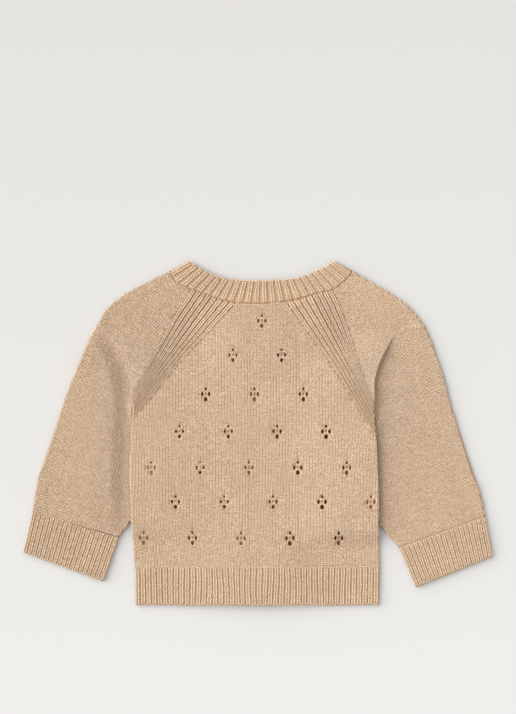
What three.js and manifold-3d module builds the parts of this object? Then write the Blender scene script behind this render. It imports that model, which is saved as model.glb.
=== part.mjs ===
// Baby cardigan in fine beige knit, laid flat on its buttoned front with the back panel up.
// Millimetres. +X points to the wearer's right, +Y to the neck, +Z up from the surface it lies on.
import * as THREE from "three";
import { mergeVertices } from "three/addons/utils/BufferGeometryUtils.js";
import Module from "manifold-3d";

const { lerp, smoothstep, clamp } = THREE.MathUtils;

// Cloth and layers
const WALL = 1.9; // thickness of a knitted panel
const PLY_GAP = 0.4; // air between the lower and the upper panel
const SEAM_GAP = 0.3; // space between two pieces that are sewn together
const NECK_GAP = 0.5; // the same on the curved neck seam
const UPPER_FACE = WALL + PLY_GAP; // underside of the upper panels
const UPPER_TOP = UPPER_FACE + WALL; // top of the upper panels
const FOLD_RADIUS = UPPER_TOP / 2; // half the height of a side fold
const FOLD_SHARES = [0, 0.29, 1]; // columns round a fold, as shares of its radius
const FOLD_LEAN = 0.1; // how much further in the inner face of a fold lies for each mm inwards
const RAGLAN_GAP = SEAM_GAP / 2 / 0.8; // half a seam's space, along a row that meets it aslant

// Ribs: a rib is a groove and a flat crest, raised in the outer face alone
const RIB = [{ at: 0, up: -0.4 }, { at: 0.28, up: 0.6 }, { at: 0.72, up: 0.6 }];
const HEM_RIBS = 44;
const CUFF_RIBS = 19;
const NECK_RIBS = 24;
const BORDER_RIBS = 4; // on each side of a raglan seam
const BAND_RIBS = 4;
const BAND_GROOVE = 0.5;

// Body
const HEM_BOTTOM = -154.4;
const HEM_TOP = -120.3;
const BAND_HALF = 11; // half the width of a front band
const BAND_WALL = 1.6;
const BAND_TOP = 115; // where the bands end at the front neck
const FRONT_NECK = 94.3; // height of the front neck seam beside the bands
const BAND_SLOPE = { from: 38, to: 12 }; // distances from the middle between which the cloth climbs
const BACK_RISE = 4.3; // lift of the back over the buttoned bands
const NECK_FADE = { from: 116, to: 130 }; // where that lift dies out towards the neck edge

// Buttons
const BUTTON_COUNT = 5;
const BUTTON_RADIUS = 5.5;
const BUTTON_HEIGHT = 1.8;
const BUTTON_TOP_Y = 104;
const BUTTON_LOW_Y = -137;
const BUTTON_SIDES = 14;
const BUTTONHOLE = { length: 10, width: 1.2 };

// Levels of the layers over the buttons
const LOWER_BAND = BUTTON_HEIGHT + SEAM_GAP;
const UPPER_BAND = LOWER_BAND + BAND_WALL + SEAM_GAP;

// Pointelle: each motif is four eyelets in a diamond; a row of motifs has its height and middles
const EYELETS = [
  { x: 0, y: 4.5, wide: 2.1, high: 2.6, sides: 4 },
  { x: -3, y: 0, wide: 2.4, high: 3.5, sides: 4 },
  { x: 3, y: 0, wide: 2.4, high: 3.5, sides: 4 },
  { x: 0, y: -4.5, wide: 3.5, high: 4.2, sides: 6 },
];
const MOTIF_ROWS = [
  { y: 100.8, first: 4, count: 1 },
  { y: 70.2, first: -22, count: 2 },
  { y: 35.1, first: -46.4, count: 3 },
  { y: 1.8, first: -69.8, count: 4 },
  { y: -30.6, first: -95, count: 5 },
  { y: -61.2, first: -73.4, count: 5 },
  { y: -94, first: -102, count: 5 },
];
const MOTIF_PITCH = 43.7;

// Each side of the body. "edge" is the side fold below the underarm, and above it the lip of the
// crease where the shoulder lies over the sleeve. "rise" is how far the cloth stands up there over
// what is tucked below, which stays level for "flat" and is gone at "fade", measured inwards.
const LEFT = {
  name: "left",
  sign: -1,
  underarm: { x: -112.1, y: 25.2 },
  raglanTop: { x: -41, y: 122.7 },
  frontRaglanTop: { x: -57, y: 107.5 },
  edge: [
    { y: -154.5, x: -109.9, rise: 0, flat: 22, fade: 44 },
    { y: -120, x: -110.5, rise: 0, flat: 22, fade: 44 },
    { y: -101, x: -111.7, rise: 0, flat: 22, fade: 44 },
    { y: -82, x: -113, rise: 4.7, flat: 22, fade: 44 },
    { y: -33, x: -114.3, rise: 4.7, flat: 22, fade: 44 },
    { y: 4.5, x: -113, rise: 4.7, flat: 22, fade: 44 },
    { y: 25.2, x: -112.1, rise: 4.7, flat: 20, fade: 42 },
    { y: 44.1, x: -113.9, rise: 4.5, flat: 14, fade: 38 },
    { y: 62.6, x: -118.5, rise: 4, flat: 8, fade: 30 },
    { y: 77, x: -126.1, rise: 2.6, flat: 4, fade: 22 },
    { y: 91.8, x: -137.3, rise: 0, flat: 0, fade: 12 },
    { y: 96.3, x: -144.5, rise: 0, flat: 0, fade: 12 },
  ],
  // The sleeve below the crease: where a row of knitting starts and ends, and how far it bows.
  sleeve: [
    { outerX: -202.3, outerY: -70.2, innerX: -124.3, innerY: -92.7, bow: 0 },
    { outerX: -197.6, outerY: -42.3, innerX: -113.4, innerY: -78.3, bow: 0 },
    { outerX: -191.7, outerY: -24.3, innerX: -104.4, innerY: -63.9, bow: 0 },
    { outerX: -177.8, outerY: 17.1, innerX: -95, innerY: -29.7, bow: 1.5 },
    { outerX: -170.6, outerY: 38.7, innerX: -98.1, innerY: -11.7, bow: 4 },
    { outerX: -161.6, outerY: 60.3, innerX: -106.5, innerY: 3, bow: 8 },
    { outerX: -152.6, outerY: 81.9, innerX: -113.1, innerY: 13, bow: 13 },
  ],
  // The shoulder above the crease, up to the neck; "seam" is the share of the raglan seam.
  shoulder: [
    { outerX: -138, outerY: 108.2, seam: 0.2, bow: 14, frontBow: 14 },
    { outerX: -129.2, outerY: 117.5, seam: 0.38, bow: 8, frontBow: 9 },
    { outerX: -117.5, outerY: 126, seam: 0.56, bow: 3, frontBow: 4 },
    { outerX: -104, outerY: 133.2, seam: 0.74, bow: -2, frontBow: 0 },
    { outerX: -90.5, outerY: 139.9, seam: 0.88, bow: -7, frontBow: -5 },
  ],
  cuff: { outerX: -210.8, outerY: -107.1, innerX: -138.8, innerY: -133.2, bow: 0 },
  frontNeckSeam: [[-11.4, FRONT_NECK], [-34, 97], [-57, 107.5], [-72.5, 125], [-78.4, 146.2]],
  frontNeckEdge: [[-11.4, BAND_TOP], [-25, 116.5], [-42, 123.5], [-56, 137], [-62.6, 154.4]],
  bandRise: UPPER_BAND,
};

const RIGHT = {
  name: "right",
  sign: 1,
  underarm: { x: 105.2, y: 16.2 },
  raglanTop: { x: 49, y: 123.6 },
  frontRaglanTop: { x: 63, y: 107.5 },
  edge: [
    { y: -154.5, x: 108.7, rise: 0, flat: 22, fade: 44 },
    { y: -120, x: 109.2, rise: 0, flat: 22, fade: 44 },
    { y: -104, x: 108.9, rise: 0, flat: 22, fade: 44 },
    { y: -86, x: 108.1, rise: 5.1, flat: 22, fade: 44 },
    { y: -64.8, x: 108.6, rise: 5.1, flat: 22, fade: 44 },
    { y: -14.9, x: 106.9, rise: 5.1, flat: 22, fade: 44 },
    { y: 16.2, x: 105.2, rise: 5.1, flat: 20, fade: 42 },
    { y: 41.7, x: 105.1, rise: 5.1, flat: 14, fade: 38 },
    { y: 57.2, x: 107.8, rise: 4.8, flat: 10, fade: 32 },
    { y: 73.8, x: 115.2, rise: 3.4, flat: 6, fade: 26 },
    { y: 92.2, x: 127.2, rise: 0, flat: 0, fade: 12 },
    { y: 96.3, x: 149.9, rise: 0, flat: 0, fade: 12 },
  ],
  sleeve: [
    { outerX: 204.4, outerY: -74.5, innerX: 127.1, innerY: -102.6, bow: 0 },
    { outerX: 199.8, outerY: -53.1, innerX: 109.2, innerY: -81.9, bow: 0 },
    { outerX: 193, outerY: -34.2, innerX: 99.5, innerY: -65.7, bow: 0 },
    { outerX: 179.6, outerY: 6.3, innerX: 90.5, innerY: -31.5, bow: 2 },
    { outerX: 172.8, outerY: 27.9, innerX: 93.2, innerY: -14.4, bow: 6 },
    { outerX: 165.6, outerY: 54, innerX: 100, innerY: -4.5, bow: 12 },
    { outerX: 158, outerY: 77.4, innerX: 106.3, innerY: 4, bow: 20 },
  ],
  shoulder: [
    { outerX: 141, outerY: 108.2, seam: 0.2, bow: 20, frontBow: 20 },
    { outerX: 131, outerY: 117.5, seam: 0.38, bow: 10, frontBow: 11 },
    { outerX: 118.8, outerY: 126, seam: 0.56, bow: 3, frontBow: 4 },
    { outerX: 106.2, outerY: 133.2, seam: 0.74, bow: -2, frontBow: 0 },
    { outerX: 95, outerY: 139.8, seam: 0.88, bow: -7, frontBow: -5 },
  ],
  cuff: { outerX: 210.8, outerY: -110.7, innerX: 141.8, innerY: -138.6, bow: 0 },
  frontNeckSeam: [[11.4, FRONT_NECK], [38, 97], [63, 107.5], [79, 125], [85.5, 145.8]],
  frontNeckEdge: [[11.4, BAND_TOP], [28, 116.5], [48, 123.5], [63, 137], [69.5, 154.4]],
  bandRise: LOWER_BAND,
};

// The back neck seam and the free edge of the neckband, from the left fold to the right one
const BACK_NECK_SEAM = [
  [-78.4, 146.2], [-76.6, 139.7], [-69.2, 133.3], [-50, 126], [-26.9, 118.6], [1.5, 116.3],
  [30, 119.1], [52.9, 125.1], [68, 128.6], [75.9, 134.2], [82.4, 140.2], [85.5, 145.8],
];
const BACK_NECK_EDGE = [
  [-62.6, 154.4], [-46.4, 145.3], [-33.4, 139.7], [-13.1, 137], [19, 137.4], [34.7, 139.2],
  [52, 145.3], [69.5, 154.4],
];

// Shares of the height between hem and underarm, and between underarm and neck, of the body's rows
const LOWER_ROWS = [0, 0.13, 0.2, 0.275, 0.58, 0.85, 0.93];
const RAGLAN_ROWS = [0, 0.2, 0.38, 0.56, 0.74, 0.88, 1];
// Width of the ribbed border along a row, by share of the raglan seam
const BORDER = [
  { at: 0, body: 11.5, sleeve: 10 },
  { at: 0.2, body: 12.4, sleeve: 11 },
  { at: 0.4, body: 15.4, sleeve: 13.5 },
  { at: 0.7, body: 22, sleeve: 17 },
  { at: 1, body: 21.5, sleeve: 19.5 },
];

const COLOURS = { body: 0xccb093, sleeve: 0xcfb397, rib: 0xc9ab8d, button: 0xe0d2bd };
const knit = (color) => new THREE.MeshStandardMaterial({ color, roughness: 0.95, metalness: 0 });

// Value of a column of a table at a height, smooth and never past its neighbours.
function smoothAt(table, key, column, where) {
  const last = table.length - 2;
  const found = table.findIndex((row, index) => index > 0 && where <= row[key]) - 1;
  const i = found < 0 ? (where < table[0][key] ? 0 : last) : found;
  const slope = (k) => {
    const a = table[clamp(k, 0, last)];
    const b = table[clamp(k, 0, last) + 1];
    return (b[column] - a[column]) / (b[key] - a[key]);
  };
  const tangent = (k) => {
    const before = slope(k - 1);
    const after = slope(k);
    return before * after <= 0 ? 0 : (2 * before * after) / (before + after);
  };
  const step = table[i + 1][key] - table[i][key];
  const t = clamp((where - table[i][key]) / step, 0, 1);
  const from = table[i][column];
  const to = table[i + 1][column];
  const ease = t * t * (3 - 2 * t);
  const leave = tangent(i) * step * t * (1 - t) * (1 - t);
  const arrive = tangent(i + 1) * step * t * t * (1 - t);
  return from + (to - from) * ease + leave - arrive;
}

const edgeX = (side, y) => smoothAt(side.edge, "y", "x", y);

// Lift at one side of the body: level over the tucked cloth, then falling away inwards.
function sideRise(side, x, y) {
  const inwards = (edgeX(side, y) - x) * side.sign;
  const flat = smoothAt(side.edge, "y", "flat", y);
  const fade = smoothAt(side.edge, "y", "fade", y);
  return smoothAt(side.edge, "y", "rise", y) * (1 - smoothstep(inwards, flat, fade));
}

const bandSlope = (x) => 1 - smoothstep(Math.abs(x), BAND_SLOPE.to, BAND_SLOPE.from);

// Lift of the upper panels over tucked sleeves and over the buttoned bands.
function upperRise(x, y) {
  const neck = 1 - smoothstep(y, NECK_FADE.from, NECK_FADE.to);
  return sideRise(LEFT, x, y) + sideRise(RIGHT, x, y) + BACK_RISE * bandSlope(x) * neck;
}

// Lift of a front over its tucked sleeve, which starts below the underarm, and up to its band.
function lowerRise(side, x, y) {
  const below = smoothstep(side.underarm.y - y, 1, 9);
  return sideRise(side, x, y) * below + side.bandRise * bandSlope(x);
}

// Row of knitting between two points, bowed sideways, as a curve measured by its length.
function bowedRow(side, row, inner = new THREE.Vector2(row.innerX, row.innerY), bow = row.bow) {
  const outer = new THREE.Vector2(row.outerX, row.outerY);
  const chord = inner.clone().sub(outer).normalize();
  const across = new THREE.Vector2(-chord.y, chord.x).multiplyScalar(-side.sign * bow);
  const middle = outer.clone().add(inner).multiplyScalar(0.5).add(across);
  return new THREE.QuadraticBezierCurve(outer, middle, inner);
}

const splineOf = (points) => new THREE.SplineCurve(points.map(([x, y]) => new THREE.Vector2(x, y)));

// Share of a curve's length at the point of it nearest to a given x.
function shareAtX(curve, x) {
  const steps = 400;
  const shares = Array.from({ length: steps + 1 }, (_, i) => i / steps);
  const miss = shares.map((share) => Math.abs(curve.getPointAt(share).x - x));
  return shares[miss.indexOf(Math.min(...miss))];
}

// Stretch of a curve as a curve of its own.
function stretch(curve, from, to) {
  return {
    getPointAt: (t) => curve.getPointAt(lerp(from, to, t)),
    getLength: () => curve.getLength() * Math.abs(to - from),
  };
}

const backNeck = splineOf(BACK_NECK_SEAM);
const point = (plan, z) => new THREE.Vector3(plan.x, plan.y, z);

function onSeam(from, to, share) {
  return new THREE.Vector2(lerp(from.x, to.x, share), lerp(from.y, to.y, share));
}

// Closed wall between an outer and an inner net of points, given row by row, with a rim round its
// border. Where both ends of a row are the same point the net is a tube there and needs no rim.
// Every four-sided face is split along its rising diagonal, so that layers keep their distance.
function wall(outer, inner) {
  const rows = outer.length - 1;
  const columns = outer[0].length - 1;
  const corners = [];
  const rising = (a, c) => (c.x - a.x) * (c.y - a.y) > 0;
  const quad = (a, b, c, d) => {
    if (rising(a, c) || !rising(b, d)) corners.push(a, b, c, a, c, d);
    else corners.push(b, c, d, b, d, a);
  };
  for (let r = 0; r < rows; r += 1) {
    for (let c = 0; c < columns; c += 1) {
      quad(outer[r][c], outer[r][c + 1], outer[r + 1][c + 1], outer[r + 1][c]);
      quad(inner[r][c], inner[r + 1][c], inner[r + 1][c + 1], inner[r][c + 1]);
    }
    const joined = (row) => outer[row][0].distanceTo(outer[row][columns]) < 1e-3;
    if (!(joined(r) && joined(r + 1))) {
      quad(outer[r][0], outer[r + 1][0], inner[r + 1][0], inner[r][0]);
      quad(outer[r][columns], inner[r][columns], inner[r + 1][columns], outer[r + 1][columns]);
    }
  }
  for (let c = 0; c < columns; c += 1) {
    quad(outer[0][c], inner[0][c], inner[0][c + 1], outer[0][c + 1]);
    quad(outer[rows][c], outer[rows][c + 1], inner[rows][c + 1], inner[rows][c]);
  }
  return closed(corners);
}

// Geometry of a list of triangle corners with shared points joined and empty triangles left out.
function closed(corners) {
  const loose = new THREE.BufferGeometry().setFromPoints(corners);
  const merged = mergeVertices(loose, 1e-3);
  const index = [];
  const all = merged.index.array;
  for (let i = 0; i < all.length; i += 3) {
    const [a, b, c] = [all[i], all[i + 1], all[i + 2]];
    if (a !== b && b !== c && c !== a) index.push(a, b, c);
  }
  merged.setIndex(index);
  return merged;
}

// Columns across a ribbed strip of a given number of ribs: share of the width, and height.
function ribColumns(count, rib = RIB) {
  const columns = [];
  for (let i = 0; i < count; i += 1) {
    rib.forEach(({ at, up }) => columns.push({ t: (i + at) / count, up }));
  }
  return [...columns, { t: 1, up: rib[0].up }];
}

// Columns across the ribbed border beside a raglan seam, from the seam inwards.
const borderColumns = ribColumns(BORDER_RIBS);
const borderWidth = (key, share) => smoothAt(BORDER, "at", key, clamp(share, 0, 1));

// The two layers of a flat garment: "face" is the outer side and "under" the side towards the hollow.
function upperLayer(rise, fold) {
  return { face: (p) => UPPER_TOP + rise(p), under: (p) => UPPER_FACE + rise(p), fold, out: 1 };
}

function lowerLayer(rise, fold) {
  return { face: (p) => rise(p), under: (p) => WALL + rise(p), fold, out: -1 };
}

const level = () => 0;
const midFold = () => FOLD_RADIUS;

// Points of one row of a layer. A row has its plan and width, and says whether it starts and ends
// at a side fold, where the cloth turns down to the level of the fold, or at a seam with its gap.
function rowPoints(row, layer, columns) {
  const outer = [];
  const inner = [];
  columns.forEach(({ t: share, up }) => {
    const t = clamp(share, row.gaps[0] / row.width, 1 - row.gaps[1] / row.width);
    const fromStart = row.folds[0] ? t * row.width : Infinity;
    const fromEnd = row.folds[1] ? (1 - t) * row.width : Infinity;
    const inwards = Math.min(fromStart, fromEnd);
    const plan = row.plan(t);
    const turn = inwards < FOLD_RADIUS ? Math.sqrt(1 - (1 - inwards / FOLD_RADIUS) ** 2) : 1;
    const face = lerp(layer.fold(plan), layer.face(plan), turn);
    outer.push(point(plan, face + up * turn * layer.out));
    if (inwards >= WALL) {
      inner.push(point(plan, layer.under(plan)));
      return;
    }
    const depth = (WALL + inwards * FOLD_LEAN) / row.width;
    const moved = row.plan(fromStart < fromEnd ? depth : 1 - depth);
    inner.push(point(moved, lerp(layer.fold(plan), layer.under(moved), inwards / WALL)));
  });
  return { outer, inner };
}

// Parts of a row one after the other, where each starts at the point that the last one ends with.
function joinRows(first, ...others) {
  return {
    outer: [...first.outer, ...others.flatMap((part) => part.outer.slice(1))],
    inner: [...first.inner, ...others.flatMap((part) => part.inner.slice(1))],
  };
}

const backwards = ({ outer, inner }) => ({ outer: outer.toReversed(), inner: inner.toReversed() });

function wallOf(rows) {
  return wall(rows.map((row) => row.outer), rows.map((row) => row.inner));
}

// A row of the body from its left end to its right end: straight below the underarms, and above
// them between the raglan seams, dipping to the neck seam at the top.
function bodyRow(share, raglan) {
  const end = (side) => {
    if (raglan) return onSeam(side.underarm, side.raglanTop, share);
    const y = lerp(HEM_TOP + SEAM_GAP / 2, side.underarm.y, share);
    return new THREE.Vector2(edgeX(side, y), y);
  };
  const [left, right] = [end(LEFT), end(RIGHT)];
  const [fromShare, toShare] = [LEFT, RIGHT].map((side) => shareAtX(backNeck, side.raglanTop.x));
  const neck = stretch(backNeck, fromShare, toShare);
  const plan = (t) => {
    const dip = neck.getPointAt(t).sub(onSeam(LEFT.raglanTop, RIGHT.raglanTop, t));
    return onSeam(left, right, t).add(dip.multiplyScalar(raglan ? share * share : 0));
  };
  const gap = raglan ? RAGLAN_GAP : 0;
  return { plan, width: right.x - left.x, folds: [!raglan, !raglan], gaps: [gap, gap] };
}

// Level of the side seam, half way between the faces of back and front.
function sideSeam(plan, offset) {
  const side = plan.x < 0 ? LEFT : RIGHT;
  return (UPPER_TOP + upperRise(plan.x, plan.y) + lowerRise(side, plan.x, plan.y)) / 2 + offset;
}

const backLayer = upperLayer((p) => upperRise(p.x, p.y), (p) => sideSeam(p, SEAM_GAP / 2));
const frontLayer = (side) =>
  lowerLayer((p) => lowerRise(side, p.x, p.y), (p) => sideSeam(p, -SEAM_GAP / 2));

// Distances from a side, and from the middle, at which back and fronts both have a column
const SIDE_COLUMNS = [22, 33, 44, 56];
const MIDDLE_COLUMNS = [38, 30, 21, 12];
const NARROW_BORDER = BORDER[0].body;
const LAST_COLUMN = MIDDLE_COLUMNS.at(-1);
const WIDE_REACH = 100; // from border to middle where the columns have their full distances

// Columns of a half row between its border and the middle, closer together where it is shorter.
function innerColumns(half, border) {
  const squeeze = Math.min(1, (half - border - LAST_COLUMN) / (WIDE_REACH - LAST_COLUMN));
  const fromSide = SIDE_COLUMNS.map((d) => border + (d - NARROW_BORDER) * squeeze);
  const fromMiddle = MIDDLE_COLUMNS.map((d) => half - LAST_COLUMN - (d - LAST_COLUMN) * squeeze);
  return [...fromSide, ...fromMiddle];
}

// The back between hem seam and neck seam, with its ribbed borders beside the raglan seams.
function backGeometry() {
  const rowOf = (share, raglan) => {
    const row = bodyRow(share, raglan);
    const border = borderWidth("body", raglan ? share : 0);
    const half = row.width / 2;
    const side = [
      ...borderColumns.map(({ t, up }) => ({ d: t * border, up: raglan ? up : 0 })),
      ...innerColumns(half, border).map((d) => ({ d, up: 0 })),
    ];
    const columns = [
      ...side.map(({ d, up }) => ({ t: d / row.width, up })),
      { t: 0.5, up: 0 },
      ...[...side].reverse().map(({ d, up }) => ({ t: 1 - d / row.width, up })),
    ];
    return rowPoints(row, backLayer, columns);
  };
  return wallOf([
    ...LOWER_ROWS.map((share) => rowOf(share, false)),
    ...RAGLAN_ROWS.map((share) => rowOf(share, true)),
  ]);
}

// A row of one front, from its side to its band.
function frontRow(side, share, raglan) {
  const body = bodyRow(share, false);
  const bandX = side.sign * (BAND_HALF + SEAM_GAP);
  const whole = (x) => clamp((x - body.plan(0).x) / body.width, 0, 1);
  if (!raglan) {
    const from = side === LEFT ? 0 : 1;
    const plan = (t) => body.plan(lerp(from, whole(bandX), t));
    return { plan, width: Math.abs(bandX - plan(0).x), folds: [true, false], gaps: [0, 0] };
  }
  const neck = splineOf(side.frontNeckSeam);
  const top = stretch(neck, shareAtX(neck, side.frontRaglanTop.x), 0);
  const underarmRow = bodyRow(0, true).plan;
  const bandLow = underarmRow(whole(bandX)).y;
  const start = onSeam(side.underarm, side.frontRaglanTop, share);
  const end = new THREE.Vector2(bandX, lerp(bandLow, FRONT_NECK, share));
  const plan = (t) => {
    const straight = onSeam(side.frontRaglanTop, { x: bandX, y: FRONT_NECK }, t);
    return onSeam(start, end, t).add(top.getPointAt(t).sub(straight).multiplyScalar(share ** 3));
  };
  const width = Math.abs(end.x - start.x);
  return { plan, width, folds: [false, false], gaps: [RAGLAN_GAP, 0] };
}

// Columns of a front from its side: those of the back's half without its ribs.
function frontColumns(width) {
  const fold = [...FOLD_SHARES.map((share) => share * FOLD_RADIUS), NARROW_BORDER];
  const inner = innerColumns(width + BAND_HALF + SEAM_GAP, NARROW_BORDER).slice(0, -1);
  return [...fold, ...inner, width].map((d) => ({ t: d / width, up: 0 }));
}

function frontGeometry(side) {
  const rowOf = (share, raglan) => {
    const row = frontRow(side, share, raglan);
    const points = rowPoints(row, frontLayer(side), frontColumns(row.width));
    return side === LEFT ? backwards(points) : points;
  };
  return wallOf([
    ...LOWER_ROWS.map((share) => rowOf(share, false)),
    ...RAGLAN_ROWS.map((share) => rowOf(share, true)),
  ]);
}

// A level row of the hem, between two places across the body.
function hemRow(y, fromX, toX, folds) {
  const plan = (t) => new THREE.Vector2(lerp(fromX, toX, t), y);
  return { plan, width: Math.abs(toX - fromX), folds, gaps: [0, 0] };
}

const HEM_ROWS = [HEM_BOTTOM, HEM_TOP - SEAM_GAP / 2];

function backHemGeometry() {
  const rowAt = (y) => hemRow(y, edgeX(LEFT, y), edgeX(RIGHT, y), [true, true]);
  return wallOf(HEM_ROWS.map((y) => rowPoints(rowAt(y), backLayer, ribColumns(HEM_RIBS))));
}

function frontHemGeometry(side) {
  const bandX = side.sign * (BAND_HALF + SEAM_GAP);
  return wallOf(
    HEM_ROWS.map((y) => {
      const row = hemRow(y, edgeX(side, y), bandX, [true, false]);
      const points = rowPoints(row, frontLayer(side), frontColumns(row.width));
      return side === LEFT ? backwards(points) : points;
    }),
  );
}

// Layers of a sleeve: the upper one stands up over the crease by a share of the side's rise.
const sleeveUpper = (side, share) => upperLayer((p) => share * sideRise(side, p.x, p.y), midFold);
const sleeveLower = lowerLayer(level, midFold);
const SLEEVE_COLUMNS = 6;
const SLEEVE_LOWER_COLUMNS = 5;

// Shares of a width round the fold at its start, and evenly between two shares without their ends.
const foldShares = (width) => FOLD_SHARES.map((share) => (share * FOLD_RADIUS) / width);
const evenly = (from, to, parts) =>
  Array.from({ length: parts - 1 }, (_, i) => lerp(from, to, (i + 1) / parts));
const plain = (t) => ({ t, up: 0 });

// Columns of a sleeve's row from its outer fold to its inner end, which has the ribbed border.
function sleeveColumns(width, border, ribs) {
  const fold = foldShares(width);
  const middle = evenly(fold.at(-1), 1 - border / width, SLEEVE_COLUMNS);
  const ribbed = borderColumns.map(({ t, up }) => ({ t: 1 - (t * border) / width, up: up * ribs }));
  return [...[...fold, ...middle].map(plain), ...ribbed.toReversed()];
}

// Columns of the plain lower layer, with the inner fold's turn at the end.
function sleeveLowerColumns(width) {
  const fold = foldShares(width);
  const turn = fold.map((share) => 1 - share).toReversed();
  return [...fold, ...evenly(fold.at(-1), turn[0], SLEEVE_LOWER_COLUMNS), ...turn].map(plain);
}

// One ring of a tube: lower and upper layer in turn, so that its faces point outwards on each side.
function ring(side, upper, lower) {
  return side === LEFT ? joinRows(backwards(lower), upper) : joinRows(backwards(upper), lower);
}

function tubeRow(curve, innerFold) {
  const plan = (t) => curve.getPointAt(clamp(t, 0, 1));
  const gaps = [0, innerFold ? 0 : RAGLAN_GAP];
  return { plan, width: curve.getLength(), folds: [true, innerFold], gaps };
}

// Rings of the sleeve below the crease, where it is a closed tube.
function sleeveRings(side) {
  return side.sleeve.map((entry) => {
    const row = tubeRow(bowedRow(side, entry), true);
    const columns = sleeveColumns(row.width, BORDER[0].sleeve, 0);
    const upper = rowPoints(row, sleeveUpper(side, 0), columns);
    return ring(side, upper, rowPoints(row, sleeveLower, sleeveLowerColumns(row.width)));
  });
}

// The crease's lip as a curve from the outer fold to the underarm, and three rings along it: the
// foot of the step, its fullest line and its top. The foot and the top lie back from the lip,
// which ends in a fan of short steps up the raglan seam.
const LIP_ROWS = [
  { lift: 0, back: 0.25, ribs: 0 },
  { lift: 0.5, back: 0, ribs: 0 },
  { lift: 1, back: 0.35, ribs: 1 },
];
const LIP_CLEARANCE = 0.45; // from the lip's end to the side of the body
const LIP_NORMAL = { x: 0.9, y: 0.4 };
const LIP_FADE = { from: 0.7, to: 0.95 }; // shares of the lip between which it stops lying back
const LIP_FAN = 1.6; // length of the fan at the lip's end

function lipRings(side) {
  const above = side.edge.filter((row) => row.y > side.underarm.y).reverse();
  const end = [side.underarm.x + side.sign * LIP_CLEARANCE, side.underarm.y];
  const straight = tubeRow(splineOf([...above.map((row) => [row.x, row.y]), end]), true);
  const away = new THREE.Vector2(-side.sign * LIP_NORMAL.x, LIP_NORMAL.y);
  const upSeam = onSeam(side.raglanTop, side.underarm, 0).sub(side.underarm).setLength(LIP_FAN);
  return LIP_ROWS.map(({ lift, back, ribs }, index) => {
    const plan = (t) => {
      const place = straight.plan(t);
      const fade = smoothstep(t, LIP_FADE.from, LIP_FADE.to);
      const move = back * sideRise(side, place.x, place.y) * (1 - fade);
      return place.addScaledVector(away, move).addScaledVector(upSeam, lift * fade);
    };
    const moved = { ...straight, plan, folds: [true, index === 0] };
    const columns = sleeveColumns(moved.width, BORDER[0].sleeve, ribs);
    const upper = rowPoints(moved, sleeveUpper(side, lift), columns);
    return ring(side, upper, rowPoints(straight, sleeveLower, sleeveLowerColumns(moved.width)));
  });
}

// Rings of the shoulder above the crease, open between the two raglan seams.
function shoulderRings(side) {
  const rings = side.shoulder.map((entry) => {
    const backEnd = onSeam(side.underarm, side.raglanTop, entry.seam);
    const frontEnd = onSeam(side.underarm, side.frontRaglanTop, entry.seam);
    return {
      upper: tubeRow(bowedRow(side, entry, backEnd), false),
      lower: tubeRow(bowedRow(side, entry, frontEnd, entry.frontBow), false),
      seam: entry.seam,
    };
  });
  const foldShare = side === LEFT ? 0 : 1;
  const frontNeck = splineOf(side.frontNeckSeam);
  rings.push({
    upper: tubeRow(stretch(backNeck, foldShare, shareAtX(backNeck, side.raglanTop.x)), false),
    lower: tubeRow(stretch(frontNeck, 1, shareAtX(frontNeck, side.frontRaglanTop.x)), false),
    seam: 1,
  });
  return rings.map(({ upper, lower, seam }) => {
    const columns = sleeveColumns(upper.width, borderWidth("sleeve", seam), 1);
    const upperPoints = rowPoints(upper, sleeveUpper(side, 1), columns);
    return ring(side, upperPoints, rowPoints(lower, sleeveLower, sleeveLowerColumns(lower.width)));
  });
}

const sleeveGeometry = (side) =>
  wallOf([...sleeveRings(side), ...lipRings(side), ...shoulderRings(side)]);

// The cuff, a tube with ribs on its upper side and a plain side where it rests.
function cuffGeometry(side) {
  const seam = side.sleeve[0];
  const away = new THREE.Vector2(side.cuff.outerX - seam.outerX, side.cuff.outerY - seam.outerY);
  away.setLength(SEAM_GAP);
  const top = {
    outerX: seam.outerX + away.x,
    outerY: seam.outerY + away.y,
    innerX: seam.innerX + away.x,
    innerY: seam.innerY + away.y,
    bow: 0,
  };
  return wallOf(
    [side.cuff, top].map((entry) => {
      const row = tubeRow(bowedRow(side, entry), true);
      const upper = rowPoints(row, sleeveUpper(side, 0), ribColumns(CUFF_RIBS));
      return ring(side, upper, rowPoints(row, sleeveLower, sleeveLowerColumns(row.width)));
    }),
  );
}

// The neckband: round the back from fold to fold, and along each front to the bands.
const NECKBAND_ROWS = [0, 0.5, 1];
const FRONT_NECK_STEPS = 14;

function neckbandGeometry() {
  const backEdge = splineOf(BACK_NECK_EDGE);
  const rows = NECKBAND_ROWS.map((height) => {
    const between = (seam, edge) => {
      const gap = NECK_GAP / seam.getPointAt(0.5).distanceTo(edge.getPointAt(0.5));
      const plan = (t) => seam.getPointAt(t).lerp(edge.getPointAt(t), lerp(gap, 1, height));
      return { plan, width: (seam.getLength() + edge.getLength()) / 2 };
    };
    const back = { ...between(backNeck, backEdge), folds: [true, true], gaps: [0, 0] };
    const upper = upperLayer((p) => upperRise(p.x, p.y), midFold);
    const front = (side) => {
      const row = between(splineOf(side.frontNeckSeam), splineOf(side.frontNeckEdge));
      const turn = foldShares(row.width).map((share) => 1 - share).toReversed();
      const columns = [0, ...evenly(0, turn[0], FRONT_NECK_STEPS), ...turn].map(plain);
      const layer = lowerLayer((p) => lowerRise(side, p.x, p.y), midFold);
      return rowPoints({ ...row, folds: [false, true], gaps: [0, 0] }, layer, columns);
    };
    const backPoints = rowPoints(back, upper, ribColumns(NECK_RIBS));
    return joinRows(front(LEFT), backPoints, backwards(front(RIGHT)));
  });
  return wallOf(rows);
}

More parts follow.
